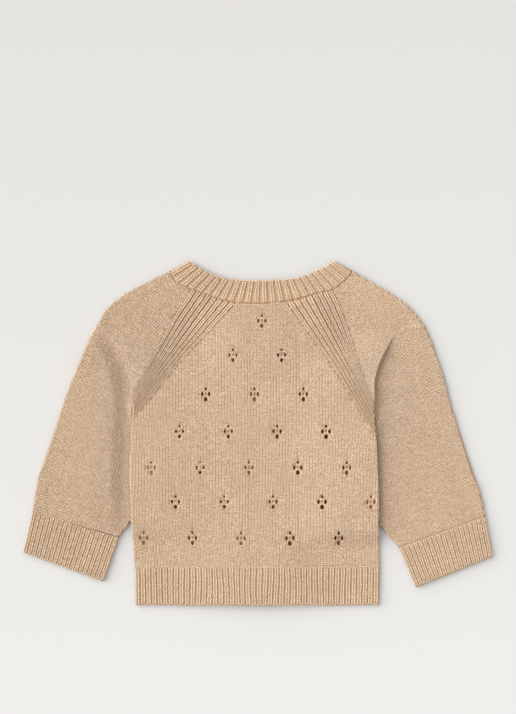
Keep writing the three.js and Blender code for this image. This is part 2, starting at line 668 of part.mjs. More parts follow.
// A front band, with ribs along its outer side, at its own level over the buttons.
function bandGeometry(bottom) {
  const rib = RIB.map(({ at, up }) => ({ at, up: up > 0 ? 0 : BAND_GROOVE }));
  const columns = ribColumns(BAND_RIBS, rib);
  const rowAt = (y) => {
    const across = (t, z) => new THREE.Vector3(lerp(BAND_HALF, -BAND_HALF, t), y, z);
    return {
      outer: columns.map(({ t, up }) => across(t, bottom + up)),
      inner: columns.map(({ t }) => across(t, bottom + BAND_WALL)),
    };
  };
  return wallOf([HEM_BOTTOM, BAND_TOP].map(rowAt));
}

const buttonY = (index) => lerp(BUTTON_TOP_Y, BUTTON_LOW_Y, index / (BUTTON_COUNT - 1));

// Joining and cutting of closed solids
const wasm = await Module();
wasm.setup();

function solidOf(geometry) {
  const bare = geometry.clone();
  bare.deleteAttribute("normal");
  bare.deleteAttribute("uv");
  const merged = mergeVertices(bare, 1e-4);
  const vertProperties = merged.attributes.position.array;
  const triVerts = new Uint32Array(merged.index.array);
  return new wasm.Manifold(new wasm.Mesh({ numProp: 3, vertProperties, triVerts }));
}

function geometryOf(solid) {
  const mesh = solid.getMesh();
  const geometry = new THREE.BufferGeometry();
  geometry.setAttribute("position", new THREE.BufferAttribute(new Float32Array(mesh.vertProperties), 3));
  geometry.setIndex(new THREE.BufferAttribute(new Uint32Array(mesh.triVerts), 1));
  return geometry;
}

const cutAll = (geometry, cutters) =>
  geometryOf(cutters.reduce((solid, cutter) => solid.subtract(solidOf(cutter)), solidOf(geometry)));

// An upright prism with an oval outline, used as a cutter.
function ovalPrism({ x, y, wide, high, sides, low, top }) {
  const prism = new THREE.CylinderGeometry(0.5, 0.5, top - low, sides);
  prism.rotateX(Math.PI / 2);
  prism.scale(wide, high, 1);
  prism.translate(x, y, (low + top) / 2);
  return prism;
}

// Middles of the pointelle motifs, row by row.
const motifs = MOTIF_ROWS.flatMap(({ y, first, count }) =>
  Array.from({ length: count }, (_, i) => ({ x: first + i * MOTIF_PITCH, y })),
);

function piercedBack() {
  const through = { low: 0, top: 20 };
  const eyeletAt = (motif, { x, y, ...shape }) =>
    ovalPrism({ ...shape, ...through, x: motif.x + x, y: motif.y + y });
  const eyelets = motifs.flatMap((motif) => EYELETS.map((eyelet) => eyeletAt(motif, eyelet)));
  return cutAll(backGeometry(), eyelets);
}

function buttonholeBand() {
  const slots = Array.from({ length: BUTTON_COUNT }, (_, i) => {
    const slot = new THREE.BoxGeometry(BUTTONHOLE.width, BUTTONHOLE.length, 3 * BAND_WALL);
    return slot.translate(0, buttonY(i), LOWER_BAND);
  });
  return cutAll(bandGeometry(LOWER_BAND), slots);
}

// A four-hole button with a raised rim, its face down.
function buttonGeometry() {
  const profile = [
    [0, 0.5], [BUTTON_RADIUS - 1.6, 0.5], [BUTTON_RADIUS - 1.1, 0], [BUTTON_RADIUS - 0.4, 0],
    [BUTTON_RADIUS, 0.7], [BUTTON_RADIUS - 0.8, BUTTON_HEIGHT], [0, BUTTON_HEIGHT],
  ];
  const turned = new THREE.LatheGeometry(profile.map(([x, y]) => new THREE.Vector2(x, y)), BUTTON_SIDES);
  turned.rotateX(Math.PI / 2);
  const holes = [[1, 1], [1, -1], [-1, 1], [-1, -1]].map(([x, y]) =>
    ovalPrism({ x: 1.15 * x, y: 1.15 * y, wide: 1.3, high: 1.3, sides: 5, low: -1, top: 3 }),
  );
  return cutAll(turned, holes);
}

// Assembly
const cardigan = new THREE.Group();

function add(name, geometry, material) {
  const mesh = new THREE.Mesh(geometry, material);
  mesh.name = name;
  cardigan.add(mesh);
  return mesh;
}

const bodyKnit = knit(COLOURS.body);
const sleeveKnit = knit(COLOURS.sleeve);
const ribKnit = knit(COLOURS.rib);
const shell = new THREE.MeshStandardMaterial({ color: COLOURS.button, roughness: 0.35, metalness: 0 });

add("back", piercedBack(), bodyKnit);
add("back_hem", backHemGeometry(), ribKnit);
[LEFT, RIGHT].forEach((side) => {
  add(`${side.name}_front`, frontGeometry(side), bodyKnit);
  add(`${side.name}_front_hem`, frontHemGeometry(side), ribKnit);
  add(`${side.name}_sleeve`, sleeveGeometry(side), sleeveKnit);
  add(`${side.name}_cuff`, cuffGeometry(side), ribKnit);
});
add("neckband", neckbandGeometry(), ribKnit);
add("button_band", bandGeometry(UPPER_BAND), ribKnit);
add("buttonhole_band", buttonholeBand(), ribKnit);
const button = buttonGeometry();
for (let i = 0; i < BUTTON_COUNT; i += 1) {
  add(`button_${i + 1}`, button, shell).position.set(0, buttonY(i), 0);
}

export default cardigan;
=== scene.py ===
"""Looks of a baby cardigan: fine beige knit laid flat on its buttoned front, seen from straight above.

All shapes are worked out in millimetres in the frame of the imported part: +X to the wearer's right,
+Y to the neck, +Z up from the surface. They are written to Blender in metres. The cloth is a set of
thin closed shells, and the knitting on them is thousands of small yarn legs laid on the shells.
"""

import logging
import math
from collections.abc import Callable, Sequence
from dataclasses import dataclass
from enum import Enum
from functools import cached_property, partial

import bpy
import numpy as np
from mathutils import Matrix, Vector


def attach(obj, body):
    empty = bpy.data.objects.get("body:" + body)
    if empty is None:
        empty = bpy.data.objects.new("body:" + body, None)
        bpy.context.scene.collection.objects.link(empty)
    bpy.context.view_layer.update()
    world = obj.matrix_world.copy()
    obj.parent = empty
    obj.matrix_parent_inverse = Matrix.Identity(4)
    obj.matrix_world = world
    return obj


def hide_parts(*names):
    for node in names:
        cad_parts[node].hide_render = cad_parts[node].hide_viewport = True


LOG = logging.getLogger("cardigan")
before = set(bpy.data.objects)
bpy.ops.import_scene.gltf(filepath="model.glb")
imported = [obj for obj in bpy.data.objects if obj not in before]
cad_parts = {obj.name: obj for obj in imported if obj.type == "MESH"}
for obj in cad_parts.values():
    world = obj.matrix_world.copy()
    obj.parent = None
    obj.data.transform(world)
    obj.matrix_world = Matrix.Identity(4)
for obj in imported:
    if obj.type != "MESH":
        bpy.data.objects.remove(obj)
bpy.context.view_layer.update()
MM = 0.001

Array = np.ndarray
Surface = Callable[[Array, Array], Array]

# Layers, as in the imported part. The faces of the plain shells lie below its faces by the yarn's
# thickness, so that the stitches on them reach about as far as the part does.
YARN = 0.6
UPPER_TOP = 4.2
MID_FOLD = UPPER_TOP / 2
FOLD_RADIUS = 2.1
RIB_ROOM = 0.5
SEAM_GAP = 0.3
RAGLAN_GAP = 0.19
NECK_GAP = 0.5
HEM_BOTTOM = -154.4
HEM_TOP = -120.3
BAND_HALF = 11.0
BAND_TOP = 115.0
FRONT_NECK = 94.3
LOWER_BAND = 2.1
UPPER_BAND = 4.0
BACK_RISE = 4.3

# Knitting
WALE = 2.52
COURSE = 1.95
DENSE = 900
CORD_STEPS = 4
CORD_SIDES = 6
LOOP_STEPS = 12
LOOP_SIDES = 5
RIB_STEPS = 8
CLOTH_SHELL = 1.2
RIB_SHELL = 1.0
CUFF_SHELL = 0.9
BAND_SHELL = 0.8
UNDER_RIB = 0.7
NECK_FREE = 1.2
SIDE_FREE = 0.6
INNER_LOWEST = 0.1
HEM_RIBS = 44
CUFF_RIBS = 19
NECK_RIBS = 24
BORDER_RIBS = 4
BAND_RIBS = 4


def smoothstep(value: Array | float, start: float | Array, end: float | Array) -> Array:
    """Smooth step t * t * (3 - 2 * t), t the clamped share of the way from start to end."""
    share = np.clip((value - start) / (end - start), 0.0, 1.0)
    return share * share * (3.0 - 2.0 * share)


def mix(first: Array | float, second: Array | float, share: Array | float) -> Array:
    """Straight blend first + (second - first) * share."""
    return first + (second - first) * share


def monotone(where: Array | float, places: Sequence[float], values: Sequence[float]) -> Array:
    """Smooth interpolation of a short table that never passes its neighbours.

    The tangent at a row is the harmonic mean of the slopes beside it, or 0 at a peak.

    Args:
        where: Where the table is read.
        places: Rising places of the table's rows.
        values: Values at those places.

    Returns:
        The interpolated values, held constant past the table's ends.
    """
    places = np.asarray(places, float)
    values = np.asarray(values, float)
    where = np.clip(where, places[0], places[-1])
    steps = np.diff(places)
    slopes = np.diff(values) / steps
    product = slopes[:-1] * slopes[1:]
    total = np.where(product > 0, slopes[:-1] + slopes[1:], 1.0)
    inner = np.where(product > 0, 2.0 * product / total, 0.0)
    tangents = np.concatenate([slopes[:1], inner, slopes[-1:]])
    i = np.clip(np.searchsorted(places, where, side="right") - 1, 0, len(steps) - 1)
    t = (where - places[i]) / steps[i]
    ease = t * t * (3.0 - 2.0 * t)
    leave = tangents[i] * steps[i] * t * (1.0 - t) ** 2
    arrive = tangents[i + 1] * steps[i] * t * t * (1.0 - t)
    return mix(values[i], values[i + 1], ease) + leave - arrive


def along_rows(rows: Array, where: Array) -> Array:
    """Smooth curve through rows of points, read between the rows.

    Args:
        rows: Rows of points, shape (rows, points, 2).
        where: Places to read, in row numbers.

    Returns:
        One row of points for each place, by the Catmull-Rom formula.
    """
    padded = np.concatenate([rows[:1], rows, rows[-1:]])
    i = np.clip(np.floor(where).astype(int), 0, len(rows) - 2)
    w = (where - i)[:, None, None]
    before, here, after, beyond = (padded[i + k] for k in range(4))
    leave = (after - before) / 2.0
    arrive = (beyond - here) / 2.0
    cube = (2.0 * here - 2.0 * after + leave + arrive) * w**3
    square = (3.0 * after - 3.0 * here - 2.0 * leave - arrive) * w**2
    return cube + square + leave * w + here


def across_rows(rows: Array, share: Array) -> Array:
    """Points at shares of the width of each row.

    Args:
        rows: Rows of evenly spaced points, shape (rows, points, 2).
        share: Shares to read on each row, shape (rows, columns).

    Returns:
        Points, shape (rows, columns, 2).
    """
    last = rows.shape[1] - 1
    place = np.clip(share, 0.0, 1.0) * last
    i = np.minimum(place.astype(int), last - 1)
    w = (place - i)[..., None]
    index = np.arange(len(rows))[:, None]
    return mix(rows[index, i], rows[index, i + 1], w)


def run_along(line: Array) -> Array:
    """Distance along a line of points from its start to each of them."""
    return np.concatenate([[0.0], np.cumsum(np.linalg.norm(np.diff(line, axis=0), axis=1))])


def points_along(line: Array, place: Array) -> Array:
    """Points at distances along a line of points, read straight between them."""
    run = run_along(line)
    return np.stack([np.interp(place, run, line[:, k]) for k in range(line.shape[1])], axis=-1)


class Curve:
    """Smooth plane curve through points, measured by its length.

    Args:
        points: The points that it passes through, in order.
    """

    SAMPLES = 80

    def __init__(self, points: Sequence[Sequence[float]]) -> None:
        rows = np.asarray(points, float)[:, None, :]
        count = (len(rows) - 1) * self.SAMPLES + 1
        self.line = along_rows(rows, np.linspace(0, len(rows) - 1, count))[:, 0]
        self.run = run_along(self.line)
        self.length = float(self.run[-1])

    def at(self, share: Array | float) -> Array:
        """Points at shares of the length, with one more axis than share."""
        return points_along(self.line, np.clip(share, 0.0, 1.0) * self.length)

    def share_at_x(self, x: float) -> float:
        """Share of the length at which the curve is nearest to an x."""
        return float(self.run[np.argmin(np.abs(self.line[:, 0] - x))] / self.length)


@dataclass(frozen=True)
class Side:
    """One side of the garment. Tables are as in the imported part; the right rise is a little higher.

    Attributes:
        name: left or right, as the wearer's.
        sign: -1 or 1, the side's direction along X.
        underarm: Where side fold and raglan seam meet.
        raglan_top: Where the back raglan seam meets the neck.
        front_raglan_top: The same on the front.
        edge: Rows of y, x, rise, flat and fade of the body's side and of the crease's lip.
        sleeve: Rows of outer x, y, inner x, y and bow, from cuff to crease.
        shoulder: Rows of outer x, y, seam share, bow and front bow, from crease to neck.
        cuff: Outer x, y, inner x, y of the cuff's edge.
        front_neck_seam: Points of the front neck seam, from band to fold.
        front_neck_edge: Points of the neckband's edge on the front.
        band_rise: Height to which the front climbs at its band.
        swell: Height of the sleeve's bulge outside the crease.
    """

    name: str
    sign: int
    underarm: tuple[float, float]
    raglan_top: tuple[float, float]
    front_raglan_top: tuple[float, float]
    edge: tuple[tuple[float, ...], ...]
    sleeve: tuple[tuple[float, ...], ...]
    shoulder: tuple[tuple[float, ...], ...]
    cuff: tuple[float, ...]
    front_neck_seam: tuple[tuple[float, float], ...]
    front_neck_edge: tuple[tuple[float, float], ...]
    band_rise: float
    swell: float

    def column(self, index: int, y: Array | float) -> Array:
        """Column 1 x, 2 rise, 3 flat or 4 fade of the edge table at a height."""
        rows = np.asarray(self.edge)
        return monotone(y, rows[:, 0], rows[:, index])

    def seam(self, x: Array, y: Array) -> tuple[Array, Array]:
        """Share of the back raglan seam, drawn on below the underarm, and distance from it inwards."""
        share = (y - self.underarm[1]) / (self.raglan_top[1] - self.underarm[1])
        return share, (mix(self.underarm[0], self.raglan_top[0], share) - x) * self.sign

    def rise(self, x: Array, y: Array, spread: float = 1.0) -> Array:
        """Lift of the cloth over what is tucked below it at this side.

        Args:
            x: Plan x.
            y: Plan y.
            spread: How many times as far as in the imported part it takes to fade.

        Returns:
            Lift, level near the edge and fading inwards.
        """
        inwards = (self.column(1, y) - x) * self.sign
        flat = self.column(3, y)
        fade = smoothstep(inwards, flat, mix(flat, self.column(4, y), spread))
        return self.column(2, y) * (1.0 - fade)


LEFT = Side(
    name="left",
    sign=-1,
    underarm=(-112.1, 25.2),
    raglan_top=(-41.0, 122.7),
    front_raglan_top=(-57.0, 107.5),
    edge=(
        (-154.5, -109.9, 0, 22, 44), (-120, -110.5, 0, 22, 44), (-101, -111.7, 0, 22, 44),
        (-82, -113, 4.7, 22, 44), (-33, -114.3, 4.7, 22, 44), (4.5, -113, 4.7, 22, 44),
        (25.2, -112.1, 4.7, 20, 42), (44.1, -113.9, 4.5, 14, 38), (62.6, -118.5, 4, 8, 30),
        (77, -126.1, 2.6, 4, 22), (91.8, -137.3, 0, 0, 12), (96.3, -144.5, 0, 0, 12),
    ),
    sleeve=(
        (-202.3, -70.2, -124.3, -92.7, 0), (-197.6, -42.3, -113.4, -78.3, 0),
        (-191.7, -24.3, -104.4, -63.9, 0), (-177.8, 17.1, -95, -29.7, 1.5),
        (-170.6, 38.7, -98.1, -11.7, 4), (-161.6, 60.3, -106.5, 3, 8),
        (-152.6, 81.9, -113.1, 13, 13),
    ),
    shoulder=(
        (-138, 108.2, 0.2, 14, 14), (-129.2, 117.5, 0.38, 8, 9), (-117.5, 126, 0.56, 3, 4),
        (-104, 133.2, 0.74, -2, 0), (-90.5, 139.9, 0.88, -7, -5),
    ),
    cuff=(-210.8, -107.1, -138.8, -133.2),
    front_neck_seam=((-11.4, FRONT_NECK), (-34, 97), (-57, 107.5), (-72.5, 125), (-78.4, 146.2)),
    front_neck_edge=((-11.4, BAND_TOP), (-25, 116.5), (-42, 123.5), (-56, 137), (-62.6, 154.4)),
    band_rise=UPPER_BAND,
    swell=5.0,
)

RIGHT = Side(
    name="right",
    sign=1,
    underarm=(105.2, 16.2),
    raglan_top=(49.0, 123.6),
    front_raglan_top=(63.0, 107.5),
    edge=(
        (-154.5, 108.7, 0, 22, 44), (-120, 109.2, 0, 22, 44), (-104, 108.9, 0, 22, 44),
        (-86, 108.1, 7.4, 22, 44), (-64.8, 108.6, 7.4, 22, 44), (-14.9, 106.9, 7.4, 22, 44),
        (16.2, 105.2, 7.4, 20, 42), (41.7, 105.1, 7.4, 14, 38), (57.2, 107.8, 7.0, 10, 32),
        (73.8, 115.2, 4.9, 6, 26), (92.2, 127.2, 0, 0, 12), (96.3, 149.9, 0, 0, 12),
    ),
    sleeve=(
        (204.4, -74.5, 127.1, -102.6, 0), (199.8, -53.1, 109.2, -81.9, 0),
        (193, -34.2, 99.5, -65.7, 0), (179.6, 6.3, 90.5, -31.5, 2), (172.8, 27.9, 93.2, -14.4, 6),
        (165.6, 54, 100, -4.5, 12), (158, 77.4, 106.3, 4, 20),
    ),
    shoulder=(
        (141, 108.2, 0.2, 20, 20), (131, 117.5, 0.38, 10, 11), (118.8, 126, 0.56, 3, 4),
        (106.2, 133.2, 0.74, -2, 0), (95, 139.8, 0.88, -7, -5),
    ),
    cuff=(210.8, -110.7, 141.8, -138.6),
    front_neck_seam=((11.4, FRONT_NECK), (38, 97), (63, 107.5), (79, 125), (85.5, 145.8)),
    front_neck_edge=((11.4, BAND_TOP), (28, 116.5), (48, 123.5), (63, 137), (69.5, 154.4)),
    band_rise=LOWER_BAND,
    swell=0.0,
)

BACK_NECK = Curve(
    (
        (-78.4, 146.2), (-76.6, 139.7), (-69.2, 133.3), (-50, 126), (-26.9, 118.6), (1.5, 116.3),
        (30, 119.1), (52.9, 125.1), (68, 128.6), (75.9, 134.2), (82.4, 140.2), (85.5, 145.8),
    )
)
BACK_NECK_EDGE = Curve(
    (
        (-62.6, 154.4), (-46.4, 145.3), (-33.4, 139.7), (-13.1, 137), (19, 137.4), (34.7, 139.2),
        (52, 145.3), (69.5, 154.4),
    )
)

# Width of a raglan seam's ribbed border by share of the seam: on the body level with the hem, and
# on the sleeve along its courses
BODY_SHARES = (-0.17, 0.1, 0.43, 0.68, 0.92, 1.03)
BODY_BORDER = (9.8, 11.9, 15.4, 20.6, 25.6, 27.0)
SLEEVE_SHARES = (0.0, 0.2, 0.4, 0.7, 1.0)
SLEEVE_BORDER = (10.0, 11.0, 13.5, 17.0, 19.5)


class Heights:
    """Levels of the garment's outer faces over the surface that it lies on."""

    CENTRE = (8.0, 86.0)
    FRONT_SLOPE = (12.0, 38.0)
    NECK_FADE = (112.0, 132.0)
    SPREAD = 3.2
    DRAPE = (
        (0.22, 61.0, 83.0, 0.4),
        (0.16, -43.0, 57.0, 1.9),
        (0.10, 29.0, -38.0, 3.1),
    )

    @classmethod
    def drape(cls, x: Array, y: Array) -> Array:
        """Slight waves of cloth that was laid by hand: a few slanted sine waves."""
        waves = [high * np.sin(x / across + y / along + turn) for high, across, along, turn in cls.DRAPE]
        return sum(waves)

    @classmethod
    def upper(cls, x: Array, y: Array) -> Array:
        """Outer face of the upper panels.

        Args:
            x: Plan x.
            y: Plan y.

        Returns:
            Height.
        """
        centre = 1.0 - smoothstep(np.abs(x), *cls.CENTRE)
        neck = 1.0 - smoothstep(y, *cls.NECK_FADE)
        sides = LEFT.rise(x, y, cls.SPREAD) + RIGHT.rise(x, y, cls.SPREAD)
        rises = sides + BACK_RISE * centre * neck
        return UPPER_TOP - YARN + rises + cls.drape(x, y)

    @classmethod
    def lower(cls, side: Side, x: Array, y: Array) -> Array:
        """Outer face of a front, which is its underside.

        Args:
            side: The front's side.
            x: Plan x.
            y: Plan y.

        Returns:
            Height.
        """
        tucked = smoothstep(side.underarm[1] - y, 1.0, 9.0)
        slope = 1.0 - smoothstep(np.abs(x), *cls.FRONT_SLOPE)
        return YARN + side.rise(x, y) * tucked + side.band_rise * slope

    @staticmethod
    def turn(inwards: Array) -> Array:
        """Quarter round of a side fold, 0 at its edge and 1 from one fold radius inwards."""
        share = np.clip(inwards / FOLD_RADIUS, 0.0, 1.0)
        return np.sqrt(1.0 - (1.0 - share) ** 2)


@dataclass(frozen=True)
class RibProfile:
    """Cross-section of a rib: a rounded crest between two grooves.

    Attributes:
        crest: Height of the crest over the cloth's face.
        groove: Depth of the groove below it.
        power: Below 1 for a broad crest, above 1 for a broad groove.
    """

    crest: float
    groove: float
    power: float

    def height(self, phase: Array) -> Array:
        """Raised and sharpened cosine from groove to crest, whole phases at the grooves."""
        wave = (0.5 - 0.5 * np.cos(2.0 * np.pi * phase)) ** self.power
        return mix(-self.groove, self.crest, wave)


HEM_RIB = RibProfile(crest=0.55, groove=0.35, power=0.5)
NECK_RIB = RibProfile(crest=0.7, groove=0.35, power=0.9)
BORDER_RIB = RibProfile(crest=0.55, groove=0.85, power=0.6)


def over(plan: Array, z: Array) -> Array:
    """Points over a plan at heights z, shape (rows, columns, 3)."""
    return np.concatenate([plan, z[..., None]], axis=-1)


def each_row(columns: Array, rows: int) -> Array:
    """The same columns on every row, shape (rows, columns)."""
    return np.broadcast_to(columns, (rows, len(columns)))


def unit(vectors: Array) -> Array:
    """Vectors divided by their length, along the last axis."""
    length = np.linalg.norm(vectors, axis=-1, keepdims=True)
    return vectors / np.maximum(length, 1e-9)


@dataclass(frozen=True)
class MeshData:
    """Points in millimetres and faces of one mesh.

    Attributes:
        points: Points, shape (n, 3).
        faces: Corner numbers, shape (m, 3) or (m, 4), turning outwards.
    """

    points: Array
    faces: Array

    @staticmethod
    def joined(parts: Sequence["MeshData"]) -> "MeshData":
        """Several meshes with faces of one kind as one.

        Args:
            parts: The meshes.

        Returns:
            The joined mesh.
        """
        starts = np.cumsum([0] + [len(part.points) for part in parts[:-1]])
        faces = [part.faces + start for part, start in zip(parts, starts)]
        return MeshData(np.concatenate([part.points for part in parts]), np.concatenate(faces))


def shell(outer: Array, thickness: float = CLOTH_SHELL) -> MeshData:
    """Closed thin shell whose outer face is a grid of points.

    The inner face is the outer one moved back along its normals, and rims join the borders.

    Args:
        outer: Grid of points, shape (rows, columns, 3). Seen from outside, columns run to the right
            and rows upwards.
        thickness: Distance of the inner face.

    Returns:
        The shell in four-sided faces.
    """
    rows, columns = outer.shape[:2]
    up = np.gradient(outer, axis=0)
    right = np.gradient(outer, axis=1)
    inner = outer - unit(np.cross(right, up)) * thickness
    inner[..., 2] = np.maximum(inner[..., 2], INNER_LOWEST)
    count = rows * columns
    number = np.arange(count).reshape(rows, columns)

    def quads(a: Array, b: Array, c: Array, d: Array) -> Array:
        return np.stack([a.ravel(), b.ravel(), c.ravel(), d.ravel()], axis=1)

    a, b, c, d = number[:-1, :-1], number[:-1, 1:], number[1:, 1:], number[1:, :-1]
    low, high, left, right_end = number[0], number[-1], number[:, 0], number[:, -1]
    faces = [
        quads(a, b, c, d),
        quads(a, d, c, b) + count,
        quads(low[:-1], low[:-1] + count, low[1:] + count, low[1:]),
        quads(high[:-1], high[1:], high[1:] + count, high[:-1] + count),
        quads(left[:-1], left[1:], left[1:] + count, left[:-1] + count),
        quads(right_end[:-1], right_end[:-1] + count, right_end[1:] + count, right_end[1:]),
    ]
    points = np.concatenate([outer.reshape(-1, 3), inner.reshape(-1, 3)])
    return MeshData(points, np.concatenate(faces))


@dataclass(frozen=True)
class YarnLeg:
    """One leg of a knit stitch: a slanted grain with two points on its ridge.

    Attributes:
        foot: Across and along of its lower tip, in stitch widths and heights.
        head: The same of its upper tip.
        half_width: Half its width, in stitch widths.
        height: Height of the ridge in millimetres.
        sunk: How far its edges and tips lie below the cloth's face.
    """

    foot: tuple[float, float] = (0.05, -0.76)
    head: tuple[float, float] = (0.40, 0.90)
    half_width: float = 0.24
    height: float = 0.66
    sunk: float = 0.12

    def template(self, mirror: int) -> MeshData:
        """The leg on one side of the stitch's middle.

        Args:
            mirror: 1 for the leg that leans to the right, -1 for the other.

        Returns:
            Points in stitch widths, stitch heights and millimetres.
        """
        foot, head = np.array(self.foot), np.array(self.head)
        middle = (foot + head) / 2.0
        ridge = [mix(foot, head, share) for share in (0.3, 0.7)]
        run = unit(head - foot)
        aside = np.array([run[1], -run[0]]) * self.half_width
        points = np.array(
            [
                [*foot, -self.sunk],
                [*head, -self.sunk],
                [*(middle - aside), -self.sunk],
                [*(middle + aside), -self.sunk],
                [*ridge[0], self.height],
                [*ridge[1], self.height],
            ]
        )
        faces = np.array(
            [[0, 4, 2], [2, 4, 5], [2, 5, 1], [0, 3, 4], [3, 5, 4], [3, 1, 5], [0, 2, 3], [2, 1, 3]]
        )
        if mirror < 0:
            points = points * np.array([-1.0, 1.0, 1.0])
            faces = faces[:, ::-1]
        return MeshData(points, faces)


KNIT_STITCH = MeshData.joined([YarnLeg().template(1), YarnLeg().template(-1)])
RIB_LEG = YarnLeg(foot=(0.21, -0.80), head=(0.32, 0.95), half_width=0.2, height=0.6)
RIB_STITCH = MeshData.joined([RIB_LEG.template(1), RIB_LEG.template(-1)])
PURL_STITCH = YarnLeg(foot=(-0.5, -0.12), head=(0.5, 0.12), half_width=0.3, height=0.32).template(1)


@dataclass
class Knitting:
    """Stitches laid on a surface.

    Attributes:
        surface: Maps rows v and columns u to points of the face.
        outward: 1 where u to the right and v upwards turn outwards, otherwise -1.
        step: Small steps in v and u that give the directions on the surface.
    """

    surface: Surface
    outward: int
    step: tuple[float, float]

    SEED = 11
    UNEVEN = 0.09
    WALE_UNEVEN = 0.05
    SHIFT = 0.07
    LOWEST = 0.02

    def lay(self, v: Array, u: Array, keep: Array, width: float | Array, stitch: MeshData) -> MeshData:
        """Lays one stitch at each kept place, as high as the rows are apart there.

        Args:
            v: Rows, shape (rows,).
            u: Columns on each row, shape (rows, columns).
            keep: Which places have a stitch, shape (rows, columns).
            width: Stitch width, a number or one for each row.
            stitch: The stitch's template.

        Returns:
            The stitches as one mesh of triangles.
        """
        dv, du = self.step
        centre = self.surface(v, u)
        right = self.surface(v, u + du) - self.surface(v, u - du)
        climb = self.surface(v + dv, u) - self.surface(v - dv, u)
        up = unit(climb)
        heights = np.linalg.norm(climb, axis=-1) / (2.0 * dv) * np.gradient(v)[:, None]
        normal = unit(np.cross(right, up)) * self.outward
        across = np.cross(up, normal)
        widths = np.broadcast_to(np.asarray(width, float).reshape(-1, 1), u.shape)
        kept = keep & (np.linalg.norm(normal, axis=-1) > 0.5)
        centre, across, up, normal = (field[kept][:, None, :] for field in (centre, across, up, normal))
        widths = widths[kept][:, None, None]
        heights = heights[kept][:, None, None]
        chance = np.random.default_rng(self.SEED)
        size = 1.0 + self.UNEVEN * chance.standard_normal((len(centre), 3, 1, 1))
        swell = 1.0 + self.WALE_UNEVEN * chance.standard_normal(u.shape[1])
        size[:, 2] *= np.broadcast_to(swell, u.shape)[kept][:, None, None]
        centre = centre + up * heights * self.SHIFT * chance.standard_normal((len(centre), 1, 1))
        shape = stitch.points[None, :, :, None]
        points = (
            centre
            + across * shape[:, :, 0] * widths * size[:, 0]
            + up * shape[:, :, 1] * heights * size[:, 1]
            + normal * shape[:, :, 2] * size[:, 2]
        )
        starts = np.arange(len(centre))[:, None, None] * len(stitch.points)
        faces = (stitch.faces[None] + starts).reshape(-1, 3)
        points[..., 2] = np.maximum(points[..., 2], self.LOWEST)
        return MeshData(points.reshape(-1, 3), faces)


def level_courses(surface: Surface, start: float, end: float, share: float) -> Array:
    """Rows of a surface that are one stitch height apart along one of its columns.

    Args:
        surface: The surface.
        start: First row number.
        end: Last row number.
        share: The column along which the height is measured.

    Returns:
        Row numbers, each in the middle of its course.
    """
    dense = np.linspace(start, end, DENSE)
    line = surface(dense, np.full((len(dense), 1), share))[:, 0]
    run = run_along(line)
    count = max(int(run[-1] / COURSE), 1)
    return np.interp((np.arange(count) + 0.5) * run[-1] / count, run, dense)


def fold_shares(width: Array, steps: int = 5) -> Array:
    """Shares of a width that follow a fold's round, by 1 - cosine, shape (rows, steps)."""
    angle = np.linspace(0.0, np.pi / 2.0, steps)
    return (1.0 - np.cos(angle))[None, :] * FOLD_RADIUS / width


def spaced(start: Array, end: Array, count: int) -> Array:
    """Even columns between two columns without the two, shape (rows, count)."""
    return mix(start, end, (np.arange(count) + 1.0)[None, :] / (count + 1.0))


class Slot(Enum):
    """Material slots of the record."""

    BODY = "body_knit"
    SLEEVE = "sleeve_knit"
    RIB = "rib_knit"
    BUTTON = "button"


class Layer(Enum):
    """Which part of the knitting a piece is."""

    # Darker finish of the fronts' cloth: painted shade of the gaps between stitches and of the view through
    # the eyelets.
    SHADED_INNER = "inner"
    # Darker finish of cloth shells, dark marks and seams, painted shade; for the button, its own plain
    # finish.
    SHADED_GROUND_AND_BUTTON = "ground"
    YARN = "yarn"


@dataclass(frozen=True)
class Cut:
    """Flat cut of a cloth piece.

    Attributes:
        width: Width in metres.
        length: Length in metres.
        area: Area in square metres where the cut isn't a rectangle.
        rests_on: Pieces that it lies on, besides the surface.
    """

    width: float
    length: float
    area: float | None = None
    rests_on: tuple[str, ...] = ()


def operator(operation: str, reflected: bool = False) -> Callable:
    """Operator of the socket class.

    Args:
        operation: Blender's name of the operation.
        reflected: Whether the other value comes first.

    Returns:
        The method, which adds a node and gives its output.
    """

    def apply(self: "Socket", other: "Socket | float") -> "Socket":
        values = (other, self) if reflected else (self, other)
        return self.shader.node("ShaderNodeMath", {"operation": operation}, dict(enumerate(values)))

    return apply


class Socket:
    """A shader value that takes part in plain arithmetic.

    Args:
        shader: The shader that the value belongs to.
        link: The output socket.
    """

    def __init__(self, shader: "Shader", link: bpy.types.NodeSocket) -> None:
        self.shader = shader
        self.link = link

    __add__, __radd__ = operator("ADD"), operator("ADD", True)
    __sub__, __rsub__ = operator("SUBTRACT"), operator("SUBTRACT", True)
    __mul__, __rmul__ = operator("MULTIPLY"), operator("MULTIPLY", True)
    __truediv__, __rtruediv__ = operator("DIVIDE"), operator("DIVIDE", True)


